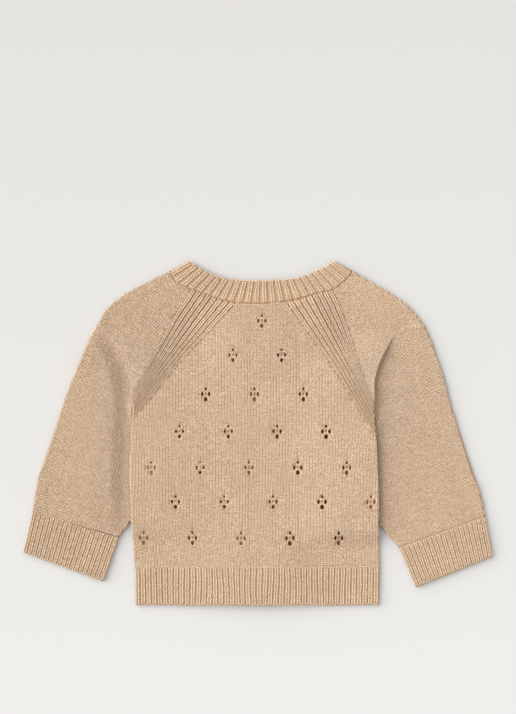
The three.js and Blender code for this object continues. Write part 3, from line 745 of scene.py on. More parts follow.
class Shader:
    """A material's node tree, built from Python expressions.

    Args:
        name: The material's name.
    """

    def __init__(self, name: str) -> None:
        self.material = bpy.data.materials.new(name)
        self.material.use_nodes = True
        self.tree = self.material.node_tree
        self.principled = self.tree.nodes["Principled BSDF"]

    def node(self, kind: str, settings: dict, inputs: dict, output: int | str = 0) -> Socket:
        """Adds a node.

        Args:
            kind: Blender's node type.
            settings: Attributes of the node.
            inputs: Values or sockets by input name or number.
            output: Name or number of the output to use.

        Returns:
            The output as a socket.
        """
        made = self.tree.nodes.new(kind)
        for key, value in settings.items():
            setattr(made, key, value)
        for key, value in inputs.items():
            self.put(made.inputs[key], value)
        return Socket(self, made.outputs[output])

    def put(self, target: bpy.types.NodeSocket, value: "Socket | float | tuple | Vector") -> None:
        """Sets or links an input.

        Args:
            target: The input socket.
            value: A number, a colour or a socket.
        """
        if isinstance(value, Socket):
            self.tree.links.new(value.link, target)
        else:
            target.default_value = value

    def place(self) -> Socket:
        """Coordinates fixed to the object, in metres."""
        return self.node("ShaderNodeTexCoord", {}, {}, "Object")

    def blend(self, first: tuple[float, ...], second: tuple[float, ...], share: Socket) -> Socket:
        """Colour from first to second by a share, which is held between 0 and 1."""
        settings = {"data_type": "RGBA", "clamp_factor": True}
        return self.node("ShaderNodeMix", settings, {6: first, 7: second, 0: share}, 2)

    def noise(self, place: Socket, scale: float, detail: float = 2.0) -> Socket:
        """Soft noise around 0.5, scale in features per metre, detail in finer layers."""
        return self.node("ShaderNodeTexNoise", {}, {"Vector": place, "Scale": scale, "Detail": detail})


@dataclass(frozen=True)
class Wool:
    """Soft matt yarn: a warm colour that varies a little, with fibres in the bump.

    Attributes:
        name: Material name.
        colour: Main colour, linear.
        shade: Darker colour that it varies to.
        fuzz: Strength of the bump.
    """

    name: str
    colour: tuple[float, float, float]
    shade: tuple[float, float, float]
    fuzz: float = 0.35

    PATCH_SCALE = 34.0
    FLECK_SCALE = 850.0
    FIBRE_SCALE = 2600.0
    PATCH_PART = 0.08
    DARKEST = 0.36
    CONTRAST = 3.6
    SHEEN = {"Sheen Weight": 0.18, "Sheen Roughness": 0.5, "Sheen Tint": (1.0, 0.93, 0.84, 1.0)}
    MATT = {"Roughness": 0.92, "Specular IOR Level": 0.15}

    def material(self) -> bpy.types.Material:
        """Builds the material.

        Returns:
            The material.
        """
        shader = Shader(self.name)
        place = shader.place()
        patch = shader.noise(place, self.PATCH_SCALE)
        fleck = shader.noise(place, self.FLECK_SCALE)
        share = patch * self.PATCH_PART + fleck * (1.0 - self.PATCH_PART)
        share = (share - self.DARKEST) * self.CONTRAST
        blend = shader.blend((*self.shade, 1.0), (*self.colour, 1.0), share)
        fibre = shader.noise(place, self.FIBRE_SCALE, 3.0)
        bump = shader.node(
            "ShaderNodeBump", {}, {"Strength": self.fuzz, "Distance": 0.0002, "Height": fibre}
        )
        surface = shader.principled.inputs
        shader.put(surface["Base Color"], blend)
        shader.put(surface["Normal"], bump)
        for socket, value in {**self.MATT, **self.SHEEN}.items():
            shader.put(surface[socket], value)
        return shader.material


@dataclass(frozen=True)
class Plain:
    """A plain finish of one colour.

    Attributes:
        name: Material name.
        colour: Colour, linear.
        roughness: Roughness.
    """

    name: str
    colour: tuple[float, float, float]
    roughness: float

    def material(self) -> bpy.types.Material:
        """Builds the material.

        Returns:
            The material.
        """
        shader = Shader(self.name)
        shader.put(shader.principled.inputs["Base Color"], (*self.colour, 1.0))
        shader.put(shader.principled.inputs["Roughness"], self.roughness)
        return shader.material


class Workshop:
    """Makes Blender objects of mesh data, parents them to the garment's body and hides the CAD parts that
    they stand for.
    """

    FINISHES = {
        (Slot.BODY, Layer.YARN): Wool("yarn_body", (0.95, 0.765, 0.585), (0.60, 0.445, 0.31)),
        # Sleeve and rib yarns: the body yarn made darker, painted shade for those parts.
        (Slot.SLEEVE, Layer.YARN): Wool("shaded_yarn_sleeve", (0.87, 0.697, 0.53), (0.61, 0.46, 0.33)),
        (Slot.RIB, Layer.YARN): Wool("shaded_yarn_rib", (0.84, 0.672, 0.51), (0.57, 0.43, 0.305)),
        # Ground and inner finishes: darker copies of the yarn, painted shade of the gaps between stitches
        # and of the eyelets' depths.
        (Slot.BODY, Layer.SHADED_GROUND_AND_BUTTON): Wool("shaded_ground_body", (0.55, 0.365, 0.215), (0.42, 0.265, 0.15)),
        (Slot.SLEEVE, Layer.SHADED_GROUND_AND_BUTTON): Wool("shaded_ground_sleeve", (0.53, 0.355, 0.215), (0.41, 0.265, 0.155)),
        (Slot.RIB, Layer.SHADED_GROUND_AND_BUTTON): Wool("shaded_ground_rib", (0.58, 0.385, 0.23), (0.45, 0.29, 0.17)),
        (Slot.BODY, Layer.SHADED_INNER): Wool("shaded_inner_body", (0.52, 0.32, 0.17), (0.42, 0.25, 0.13)),
        (Slot.BUTTON, Layer.SHADED_GROUND_AND_BUTTON): Plain("button_satin", (0.72, 0.62, 0.49), 0.35),
    }

    def __init__(self) -> None:
        self.materials = {use: finish.material() for use, finish in self.FINISHES.items()}

    def mesh(self, name: str, data: MeshData) -> bpy.types.Mesh:
        """Writes mesh data as a Blender mesh in metres.

        Args:
            name: Mesh name.
            data: Points and faces.

        Returns:
            The mesh, with smooth faces.
        """
        mesh = bpy.data.meshes.new(name)
        corners = data.faces.shape[1]
        mesh.vertices.add(len(data.points))
        mesh.vertices.foreach_set("co", (data.points * MM).astype(np.float32).ravel())
        mesh.loops.add(data.faces.size)
        mesh.loops.foreach_set("vertex_index", data.faces.astype(np.int32).ravel())
        mesh.polygons.add(len(data.faces))
        starts = np.arange(len(data.faces), dtype=np.int32) * corners
        mesh.polygons.foreach_set("loop_start", starts)
        mesh.update(calc_edges=True)
        mesh.polygons.foreach_set("use_smooth", np.ones(len(data.faces), bool))
        return mesh

    def object(self, name: str, mesh: bpy.types.Mesh, slot: Slot, layer: Layer) -> bpy.types.Object:
        """Puts a mesh into the scene as a piece of the garment.

        Args:
            name: Piece name.
            mesh: Its mesh.
            slot: Its material slot.
            layer: Ground, inner or yarn; the ground and inner cloth finishes are darker copies of the yarn,
                painted shade.

        Returns:
            The object, riding on the garment's one body.
        """
        made = bpy.data.objects.new(name, mesh)
        bpy.context.scene.collection.objects.link(made)
        mesh.materials.append(self.materials[slot, layer])
        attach(made, "root")
        return made

    def add(
        self,
        name: str,
        data: MeshData,
        slot: Slot,
        node: str | None = None,
        cut: Cut | None = None,
        layer: Layer = Layer.YARN,
    ) -> bpy.types.Object:
        """Adds a piece of the garment.

        Args:
            name: Piece name.
            data: Points and faces.
            slot: Material slot.
            node: The CAD node that it stands for.
            cut: Flat cut, where the piece is a sheet of cloth; not used.
            layer: The layer of the knitting that gives its finish; a piece that stands for a CAD node takes
                the ground layer, painted shade on cloth.

        Returns:
            The object.
        """
        # Pieces that stand for a CAD node get the ground finish: on cloth a darker copy of the yarn,
        # painted shade of the gaps between stitches; on a button its own plain finish.
        layer = Layer.SHADED_GROUND_AND_BUTTON if node and layer is Layer.YARN else layer
        made = self.object(name, self.mesh(name, data), slot, layer)
        if node:
            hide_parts(node)
        LOG.info("%s: %d faces", name, len(data.faces))
        return made

    def cut(self, target: bpy.types.Object, cutter: MeshData) -> None:
        """Cuts closed bodies out of a piece.

        Args:
            target: The piece.
            cutter: The bodies to cut with.
        """
        tool = bpy.data.objects.new("cutter", self.mesh("cutter", cutter))
        bpy.context.scene.collection.objects.link(tool)
        modifier = target.modifiers.new("cut", "BOOLEAN")
        modifier.operation = "DIFFERENCE"
        modifier.solver = "EXACT"
        modifier.object = tool
        graph = bpy.context.evaluated_depsgraph_get()
        result = bpy.data.meshes.new_from_object(target.evaluated_get(graph))
        target.modifiers.clear()
        target.data = result
        bpy.data.objects.remove(tool)


def capped(rings: Array, low: Array, top: Array) -> MeshData:
    """Closed skin over rings of points, with a pole at each end.

    Args:
        rings: Points, shape (rings, sides, 3), turning anticlockwise seen from the top pole.
        low: Pole before the first ring.
        top: Pole after the last ring.

    Returns:
        The body, with two triangles between each pair of steps.
    """
    count, sides = rings.shape[:2]
    number = np.arange(count * sides).reshape(count, sides)
    beside = np.roll(number, -1, axis=1)
    a, b, c, d = number[:-1].ravel(), beside[:-1].ravel(), beside[1:].ravel(), number[1:].ravel()
    foot, head = np.full(sides, number.size), np.full(sides, number.size + 1)
    corners = [(a, b, c), (a, c, d), (beside[0], number[0], foot), (number[-1], beside[-1], head)]
    faces = np.concatenate([np.stack(three, axis=1) for three in corners])
    return MeshData(np.concatenate([rings.reshape(-1, 3), [low, top]]), faces)


def prism(
    x: float, y: float, wide: float, high: float, low: float, top: float, sides: int = 12
) -> MeshData:
    """Upright prism with an oval outline, in triangles.

    Args:
        x: Middle.
        y: Middle.
        wide: Width.
        high: Size along Y.
        low: Lower level.
        top: Upper level.
        sides: Number of sides.

    Returns:
        The closed prism.
    """
    angle = np.arange(sides) * 2.0 * np.pi / sides
    plan = np.stack([x + wide / 2.0 * np.cos(angle), y + high / 2.0 * np.sin(angle)], axis=1)
    rings = np.stack([np.column_stack([plan, np.full(sides, z)]) for z in (low, top)])
    return capped(rings, np.array([x, y, low]), np.array([x, y, top]))


def cord(path: Array, radius: float, beads: float, bead_length: float = 2.4) -> MeshData:
    """Round cord along a line, with beads like the links of a chain.

    Args:
        path: Points of the line in millimetres, shape (points, 3).
        radius: Radius of the cord.
        beads: How much the radius swells and shrinks, as a share of it.
        bead_length: Length of a bead.

    Returns:
        The closed cord in triangles.
    """
    run = run_along(path)
    count = max(int(run[-1] / bead_length) * CORD_STEPS, 2) + 1
    place = np.linspace(0.0, run[-1], count)
    line = points_along(path, place)
    along = unit(np.gradient(line, axis=0))
    aside = unit(np.cross(along, np.array([0.0, 0.0, 1.0])))
    above = np.cross(aside, along)
    reach = radius * (1.0 + beads * np.sin(place / bead_length * 2.0 * np.pi))[:, None, None]
    roll = (np.arange(CORD_SIDES) * 2.0 * np.pi / CORD_SIDES)[None, :, None]
    rings = line[:, None] + reach * (np.cos(roll) * aside[:, None] + np.sin(roll) * above[:, None])
    skin = capped(rings, line[0], line[-1])
    return MeshData(skin.points, skin.faces[:, ::-1])


def ring(centre: Array, wide: float, high: float, yarn: float) -> MeshData:
    """Oval loop of yarn lying flat.

    Args:
        centre: Middle of the loop.
        wide: Width of its middle line.
        high: Size of its middle line along Y.
        yarn: Radius of the yarn.

    Returns:
        The closed loop, an oval torus, in triangles.
    """
    turn = (np.arange(LOOP_STEPS) * 2.0 * np.pi / LOOP_STEPS)[:, None]
    roll = (np.arange(LOOP_SIDES) * 2.0 * np.pi / LOOP_SIDES)[None, :]
    reach = yarn * np.cos(roll)
    x = centre[0] + (wide / 2.0 + reach) * np.cos(turn)
    y = centre[1] + (high / 2.0 + reach) * np.sin(turn)
    z = centre[2] + yarn * np.sin(roll) + 0.0 * turn
    points = np.stack([x, y, z], axis=-1).reshape(-1, 3)
    number = np.arange(len(points)).reshape(LOOP_STEPS, LOOP_SIDES)
    after = np.roll(number, -1, axis=0)
    both = np.roll(after, -1, axis=1)
    corners = [(number, after, both), (number, both, np.roll(number, -1, axis=1))]
    faces = [np.stack([corner.ravel() for corner in three], axis=1) for three in corners]
    return MeshData(points, np.concatenate(faces))


@dataclass(frozen=True)
class Pointelle:
    """Eyelet diamonds of the back.

    Attributes:
        rows: Rows of motifs as height, first middle and count.
        pitch: Distance between two motifs of a row.
        eyelets: Offsets and sizes of a motif's holes.
    """

    rows: tuple[tuple[float, float, int], ...] = (
        (100.8, 4.0, 1),
        (70.2, -22.0, 2),
        (35.1, -46.4, 3),
        (1.8, -69.8, 4),
        (-30.6, -95.0, 5),
        (-61.2, -73.4, 5),
        (-94.0, -102.0, 5),
    )
    pitch: float = 43.7
    eyelets: tuple[tuple[float, float, float, float], ...] = (
        (0.0, 4.6, 2.4, 2.9),
        (-3.1, 0.0, 2.5, 4.0),
        (3.1, 0.0, 2.5, 4.0),
        (0.0, -4.6, 3.4, 4.2),
        (0.1, 0.3, 1.0, 1.3),
    )

    LOOP = 0.3
    SMALL = 1.5
    UNEVEN = 0.1
    # Painted shade: dark prisms above and below each motif, given as offset and height, and their width.
    SHADE_FURROWS = ((8.6, 4.6), (-8.2, 3.0))
    SHADE_FURROW_WIDTH = 0.6
    CUT_LEVELS = (1.5, 20.0)

    def motifs(self) -> Array:
        """Middles of all motifs, shape (motifs, 2)."""
        rows = [(first + i * self.pitch, y) for y, first, count in self.rows for i in range(count)]
        return np.array(rows)

    def holes(self) -> Array:
        """All holes.

        Returns:
            Rows of middle x, y, width and height.
        """
        rows = []
        for i, (x, y) in enumerate(self.motifs()):
            open_up = 1.0 + self.UNEVEN * math.sin(5.0 * i)
            for dx, dy, wide, high in self.eyelets:
                rows.append((x + dx, y + dy, wide * open_up, high * open_up))
        return np.array(rows)

    def clear(self, x: Array, y: Array, margin: float) -> Array:
        """Which places are clear of the holes.

        Args:
            x: Plan x.
            y: Plan y.
            margin: Distance that is kept from a hole's edge.

        Returns:
            True where a stitch may be.
        """
        free = np.ones(np.broadcast(x, y).shape, bool)
        for at_x, at_y, wide, high in self.holes():
            reach = ((x - at_x) / (wide / 2.0 + margin)) ** 2 + ((y - at_y) / (high / 2.0 + margin)) ** 2
            free &= reach > 1.0
        return free

    def cutters(self) -> MeshData:
        """Joined prisms that cut the holes."""
        return MeshData.joined([prism(*hole, *self.CUT_LEVELS) for hole in self.holes()])

    def shade_furrows(self) -> MeshData:
        """Thin dark prisms above and below each motif, in the ground finish: painted shade of the furrows
        between two wales.

        Returns:
            The joined prisms.
        """
        marks = [(x, y + dy, high) for x, y in self.motifs() for dy, high in self.SHADE_FURROWS]
        level = Heights.upper(*np.array(marks)[:, :2].T)
        wide = self.SHADE_FURROW_WIDTH
        shade_furrows = [prism(x, y, wide, h, z - 0.3, z + 0.5, 8) for (x, y, h), z in zip(marks, level)]
        return MeshData.joined(shade_furrows)

    def loops(self) -> MeshData:
        """Yarn round each hole.

        Returns:
            The joined loops.
        """
        holes = self.holes()
        level = Heights.upper(holes[:, 0], holes[:, 1]) - 0.1
        loops = [
            ring(np.array([x, y, z]), wide + 2.0 * self.LOOP, high + 2.0 * self.LOOP, self.LOOP)
            for (x, y, wide, high), z in zip(holes, level)
            if wide > self.SMALL
        ]
        return MeshData.joined(loops)


def body_plan(share: Array, t: Array, raglan: bool) -> Array:
    """Plan of the body's rows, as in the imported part.

    Args:
        share: Share of the height of this part of the body, shape (rows,).
        t: Share of the width, shape (rows, columns).
        raglan: Whether the rows are above the underarms.

    Returns:
        Points, shape (rows, columns, 2).
    """
    if raglan:
        ends = [mix(np.array(s.underarm), np.array(s.raglan_top), share[:, None]) for s in (LEFT, RIGHT)]
        neck = BACK_NECK.at(mix(*(BACK_NECK.share_at_x(s.raglan_top[0]) for s in (LEFT, RIGHT)), t))
        dip = neck - mix(np.array(LEFT.raglan_top), np.array(RIGHT.raglan_top), t[..., None])
        return mix(ends[0][:, None], ends[1][:, None], t[..., None]) + dip * (share**2)[:, None, None]
    heights = [mix(HEM_TOP + SEAM_GAP / 2.0, s.underarm[1], share) for s in (LEFT, RIGHT)]
    ends = [np.stack([s.column(1, y), y], axis=-1) for s, y in zip((LEFT, RIGHT), heights)]
    return mix(ends[0][:, None], ends[1][:, None], t[..., None])


def body_width(share: Array, raglan: bool) -> Array:
    """Widths of the body's rows, from end to end of body_plan, shape (rows, 1)."""
    ends = body_plan(share, np.array([[0.0, 1.0]] * len(share)), raglan)
    return ends[:, 1:, 0] - ends[:, :1, 0]


def side_seam(x: Array, y: Array) -> Array:
    """Level of the body's side fold, half way between the faces of back and front."""
    lower = np.where(x < 0, Heights.lower(LEFT, x, y), Heights.lower(RIGHT, x, y))
    return (Heights.upper(x, y) + lower) / 2.0


@dataclass(frozen=True)
class Back:
    """The back panel with its raglan borders and eyelets.

    Attributes:
        lower_rows: Rows of the shell below the underarms.
        raglan_rows: Rows above them.
        plain_columns: Columns between the two borders.
        rib_steps: Columns for each rib of a border.
        wales: Stitches from side to side.
        cut: Flat cut.
        pointelle: The eyelets.
    """

    lower_rows: int = 44
    raglan_rows: int = 44
    plain_columns: int = 46
    rib_steps: int = 6
    wales: int = 84
    cut: Cut = Cut(0.222, 0.243, 0.0465, ("left_front_cloth", "right_front_cloth"))
    pointelle: Pointelle = Pointelle()

    MARK_EVERY = 5
    COURSES = 128
    FIRST_COURSE = 0.45
    CHEST = 220.0
    HOLE_FREE = 0.9
    COURSE_BOW = (0.35, 6.0)
    WALE_SWAY = (0.25, 23.0, 61.0)
    BORDER_START = (-0.24, -0.14)
    BORDER_SHARES = (-0.2, 1.06, 0.0149)
    BORDER_LEG = 0.8 * 0.84
    BORDER_BAR = 0.55
    OPEN_END = (-4.0, 2.0)
    FOLD_POWER = 1.25

    @staticmethod
    def level(x: Array, y: Array) -> Array:
        """Outer face with its ribbed borders and side folds.

        Args:
            x: Plan x.
            y: Plan y.

        Returns:
            Height.
        """
        z = Heights.upper(x, y)
        turned = np.ones(np.broadcast(x, y).shape)
        for side in (LEFT, RIGHT):
            share, inwards = side.seam(x, y)
            border = monotone(share, BODY_SHARES, BODY_BORDER)
            ribs = BORDER_RIB.height(inwards / border * BORDER_RIBS)
            ribs = ribs * smoothstep(share, *Back.BORDER_START)
            z = z + np.where((inwards > 0.0) & (inwards < border), ribs, 0.0)
            fold = Heights.turn((side.column(1, y) - x) * side.sign)
            open_end = smoothstep(y, *(side.underarm[1] + away for away in Back.OPEN_END))
            turned = turned * mix(fold, 1.0, open_end)
        return mix(side_seam(x, y) + SEAM_GAP / 2.0, z, turned)

    def face(self, share: Array, t: Array, raglan: bool) -> Array:
        """Points of the outer face.

        Args:
            share: Rows.
            t: Columns on each row.
            raglan: Whether the rows are above the underarms.

        Returns:
            Points, shape (rows, columns, 3).
        """
        if raglan:
            gap = RAGLAN_GAP / body_width(share, raglan)
            t = np.clip(t, gap, 1.0 - gap)
        plan = body_plan(share, t, raglan)
        return np.concatenate([plan, self.level(plan[..., 0], plan[..., 1])[..., None]], axis=-1)

    def grid(self, raglan: bool) -> Array:
        """Rows of the shell's outer face.

        Args:
            raglan: Whether the rows are above the underarms.

        Returns:
            Points, shape (rows, columns, 3).
        """
        share = np.linspace(0.0, 1.0, self.raglan_rows if raglan else self.lower_rows)
        width = body_width(share, raglan)
        border = monotone(share if raglan else share * 0.0, BODY_SHARES, BODY_BORDER)[:, None]
        steps = BORDER_RIBS * self.rib_steps
        power = 1.0 if raglan else self.FOLD_POWER
        side = (np.arange(steps + 1) / steps)[None, :] ** power * border / width
        plain = spaced(side[:, -1:], 1.0 - side[:, -1:], self.plain_columns)
        return self.face(share, np.concatenate([side, plain, 1.0 - side[:, ::-1]], axis=1), raglan)

    def inside(self, x: Array, y: Array) -> Array:
        """Which places have plain knitting.

        Args:
            x: Plan x.
            y: Plan y.

        Returns:
            True inside the outline, clear of the raglan borders.
        """
        found = np.ones(x.shape, bool)
        for side in (LEFT, RIGHT):
            share, inwards = side.seam(x, y)
            border = monotone(share, BODY_SHARES, BODY_BORDER)
            marks = (np.floor(y / COURSE) % self.MARK_EVERY == 0) & (inwards < border + WALE)
            found &= (share < BODY_SHARES[0]) | ((inwards > border) & ~marks)
        neck = np.interp(x, BACK_NECK.line[:, 0], BACK_NECK.line[:, 1])
        return found & (y < neck - NECK_GAP)

    def stitches(self) -> MeshData:
        """Plain knitting between the borders.

        Returns:
            The stitches.
        """

        def surface(v: Array, u: Array) -> Array:
            bow, bows = self.COURSE_BOW
            sway, along, across = self.WALE_SWAY
            y = v[:, None] + bow * np.sin(u * bows)
            left, right = (side.column(1, np.minimum(y, side.underarm[1])) for side in (LEFT, RIGHT))
            x = mix(left, right, u) + sway * np.sin(y / along + u * across) * np.sin(np.pi * u)
            return np.stack([x, y, self.level(x, y)], axis=-1)

        v = HEM_TOP + COURSE * (np.arange(self.COURSES) + self.FIRST_COURSE)
        u = each_row(crest_columns(self.wales), len(v))
        at = surface(v, u)
        x, y = at[..., 0], at[..., 1]
        keep = self.inside(x, y) & self.pointelle.clear(x, y, self.HOLE_FREE)
        wale = self.CHEST / self.wales
        return Knitting(surface, 1, (0.4, 0.002)).lay(v, u, keep, wale, KNIT_STITCH)

    def border_stitches(self) -> MeshData:
        """Stitches on the ribs beside both raglan seams.

        Returns:
            The stitches.
        """
        parts = []
        for side in (LEFT, RIGHT):

            def surface(share: Array, u: Array, side: Side = side) -> Array:
                y = mix(side.underarm[1], side.raglan_top[1], share)[:, None] + 0.0 * u
                seam = mix(side.underarm[0], side.raglan_top[0], share)[:, None]
                x = seam - side.sign * u * monotone(share, BODY_SHARES, BODY_BORDER)[:, None]
                return np.stack([x, y, self.level(x, y)], axis=-1)

            share = np.arange(*self.BORDER_SHARES)
            u = each_row(crest_columns(BORDER_RIBS), len(share))
            at = surface(share, u)
            x, y = at[..., 0], at[..., 1]
            neck = np.interp(x, BACK_NECK.line[:, 0], BACK_NECK.line[:, 1])
            keep = (y < neck - NECK_FREE) & ((side.column(1, y) - x) * side.sign > SIDE_FREE)
            rib = monotone(share, BODY_SHARES, BODY_BORDER) / BORDER_RIBS
            knitting = Knitting(surface, -side.sign, (0.004, 0.01))
            parts.append(knitting.lay(share, u, keep, rib * self.BORDER_LEG, RIB_STITCH))
            trough = each_row(trough_columns(BORDER_RIBS), len(share))
            parts.append(knitting.lay(share, trough, keep[:, 1:], rib * self.BORDER_BAR, PURL_STITCH))
        return MeshData.joined(parts)

    def build(self, shop: Workshop) -> None:
        """Makes the back's pieces.

        Args:
            shop: Where they are made.
        """
        grid = np.concatenate([self.grid(False), self.grid(True)[1:]])
        cloth = shop.add("back_cloth", shell(grid), Slot.BODY, "back", self.cut)
        shop.cut(cloth, self.pointelle.cutters())
        shop.add("back_stitches", self.stitches(), Slot.BODY)
        shop.add("back_border_stitches", self.border_stitches(), Slot.BODY)
        shop.add("back_eyelet_loops", self.pointelle.loops(), Slot.BODY)
        # Dark prisms in the ground finish: painted shade beside each eyelet motif.
        shop.add("back_eyelet_shade_furrows", self.pointelle.shade_furrows(), Slot.BODY, layer=Layer.SHADED_GROUND_AND_BUTTON)


@dataclass(frozen=True)
class Front:
    """One front, hidden below the back: plain knitting up to its band.

    Attributes:
        side: The garment's side.
        lower_rows: Rows of the shell below the underarm.
        raglan_rows: Rows above it.
        columns: Columns between fold and band.
        cut: Flat cut.
    """

    side: Side
    lower_rows: int = 76
    raglan_rows: int = 30
    columns: int = 30
    cut: Cut = Cut(0.102, 0.227, 0.0205)

    WALES = 41
    COURSES = 118
    FIRST_WALE = 0.55
    FIRST_COURSE = 0.9
    SEAM_FREE = 1.4

    def plan(self, share: Array, t: Array, raglan: bool) -> Array:
        """Plan of the front's rows, from its side to its band.

        Args:
            share: Rows.
            t: Columns on each row.
            raglan: Whether the rows are above the underarm.

        Returns:
            Points, shape (rows, columns, 2).
        """
        side = self.side
        band_x = side.sign * (BAND_HALF + SEAM_GAP)
        underarm, top = np.array(side.underarm), np.array(side.front_raglan_top)
        if not raglan:
            y = mix(HEM_TOP + SEAM_GAP / 2.0, side.underarm[1], share)
            start = np.stack([side.column(1, y), y], axis=-1)
            end = np.stack([np.full(len(y), band_x), y], axis=-1)
            return mix(start[:, None], end[:, None], t[..., None])
        start = mix(underarm, top, share[:, None])
        end = np.stack([np.full(len(share), band_x), mix(underarm[1], FRONT_NECK, share)], axis=-1)
        neck = Curve(side.front_neck_seam)
        along = neck.at(mix(neck.share_at_x(top[0]), 0.0, t))
        straight = mix(top, np.array([band_x, FRONT_NECK]), t[..., None])
        bend = (along - straight) * (share**3)[:, None, None]
        return mix(start[:, None], end[:, None], t[..., None]) + bend

    def face(self, share: Array, t: Array, raglan: bool) -> Array:
        """Points of the outer face, which is the underside.

        Args:
            share: Rows.
            t: Columns on each row.
            raglan: Whether the rows are above the underarm.

        Returns:
            Points, shape (rows, columns, 3).
        """
        plan = self.plan(share, t, raglan)
        x, y = plan[..., 0], plan[..., 1]
        z = Heights.lower(self.side, x, y)
        if not raglan:
            inwards = np.abs(x - self.side.column(1, y))
            z = mix(side_seam(x, y) - SEAM_GAP / 2.0, z, Heights.turn(inwards))
        return np.stack([x, y, z], axis=-1)

    def grid(self) -> Array:
        """Grid of the outer face, with its columns to the left so that it faces down.

        Returns:
            Points, shape (rows, columns, 3).
        """
        parts = []
        for raglan in (False, True):
            share = np.linspace(0.0, 1.0, self.raglan_rows if raglan else self.lower_rows)
            ends = self.plan(share, np.array([[0.0, 1.0]] * len(share)), raglan)
            width = np.abs(ends[:, 1:, 0] - ends[:, :1, 0])
            fold = fold_shares(width)
            gap = RAGLAN_GAP / width if raglan else 0.0
            t = np.concatenate([fold, spaced(fold[:, -1:], np.ones_like(width), self.columns)], axis=1)
            t = np.concatenate([np.maximum(t, gap), np.ones_like(width)], axis=1)
            parts.append(self.face(share, t, raglan))
        grid = np.concatenate([parts[0], parts[1][1:]])
        return grid[:, ::-1] if self.side is LEFT else grid

    def stitches(self) -> MeshData:
        """Plain knitting of the underside.

        Returns:
            The stitches.
        """
        side = self.side

        def surface(v: Array, u: Array) -> Array:
            y = v[:, None] + 0.0 * u
            return np.stack([u, y, Heights.lower(side, u, y)], axis=-1)

        v = HEM_TOP + COURSE * (np.arange(self.COURSES) + self.FIRST_COURSE)
        first = BAND_HALF + SEAM_GAP + WALE * self.FIRST_WALE
        u = each_row(side.sign * (first + WALE * np.arange(self.WALES)), len(v))
        y = v[:, None] + 0.0 * u
        share = (y - side.underarm[1]) / (side.front_raglan_top[1] - side.underarm[1])
        seam = mix(side.underarm[0], side.front_raglan_top[0], share)
        below = (side.column(1, y) - u) * side.sign > SIDE_FREE
        above = (seam - u) * side.sign > self.SEAM_FREE
        line = Curve(side.front_neck_seam).line
        order = np.argsort(line[:, 0])
        neck = np.interp(u, line[order, 0], line[order, 1])
        keep = np.where(share > 0.0, above, below) & (y < neck - NECK_FREE)
        return Knitting(surface, -1, (0.4, 0.4)).lay(v, u, keep, WALE, KNIT_STITCH)

    def build(self, shop: Workshop) -> None:
        """Makes the front's pieces.

        Args:
            shop: Where they are made.
        """
        name = f"{self.side.name}_front"
        # The front's cloth takes the darker inner finish: painted shade of its stitch gaps and of the
        # eyelets' depths.
        shop.add(f"{name}_cloth", shell(self.grid()), Slot.BODY, name, self.cut, Layer.SHADED_INNER)
        shop.add(f"{name}_stitches", self.stitches(), Slot.BODY)


def crest_columns(count: int) -> Array:
    """Shares of a width at the crests of count ribs."""
    return (np.arange(count) + 0.5) / count


def trough_columns(count: int) -> Array:
    """Shares of a width at the grooves between count ribs."""
    return (np.arange(count - 1) + 1.0) / count


def ribbed_columns(count: int) -> Array:
    """Shares of a width from 0 to 1 that follow each rib."""
    return np.linspace(0.0, 1.0, count * RIB_STEPS + 1)


def tube(side: Side, upper: Array, lower: Array) -> Array:
    """Grid round a flat tube, facing out: one layer from its inner end, the outer fold, the other layer."""
    first, second = (lower, upper) if side is LEFT else (upper, lower)
    return np.concatenate([first[:, ::-1], second[:, 1:]], axis=1)


def rib_courses(
    surface: Surface,
    outward: int,
    crests: Array,
    span: tuple[float, float],
    width: float,
    stitch: MeshData = RIB_STITCH,
) -> MeshData:
    """Stitches along the crests of a ribbed surface.

    Args:
        surface: Maps rows and columns to points.
        outward: As for Knitting.
        crests: Columns of the crests.
        span: First and last row.
        width: Width of a stitch.
        stitch: The stitch.

    Returns:
        The stitches.
    """
    v = level_courses(surface, *span, float(crests[len(crests) // 2]))
    u = each_row(crests, len(v))
    knitting = Knitting(surface, outward, (0.01, 0.002))
    return knitting.lay(v, u, np.ones(u.shape, bool), width, stitch)


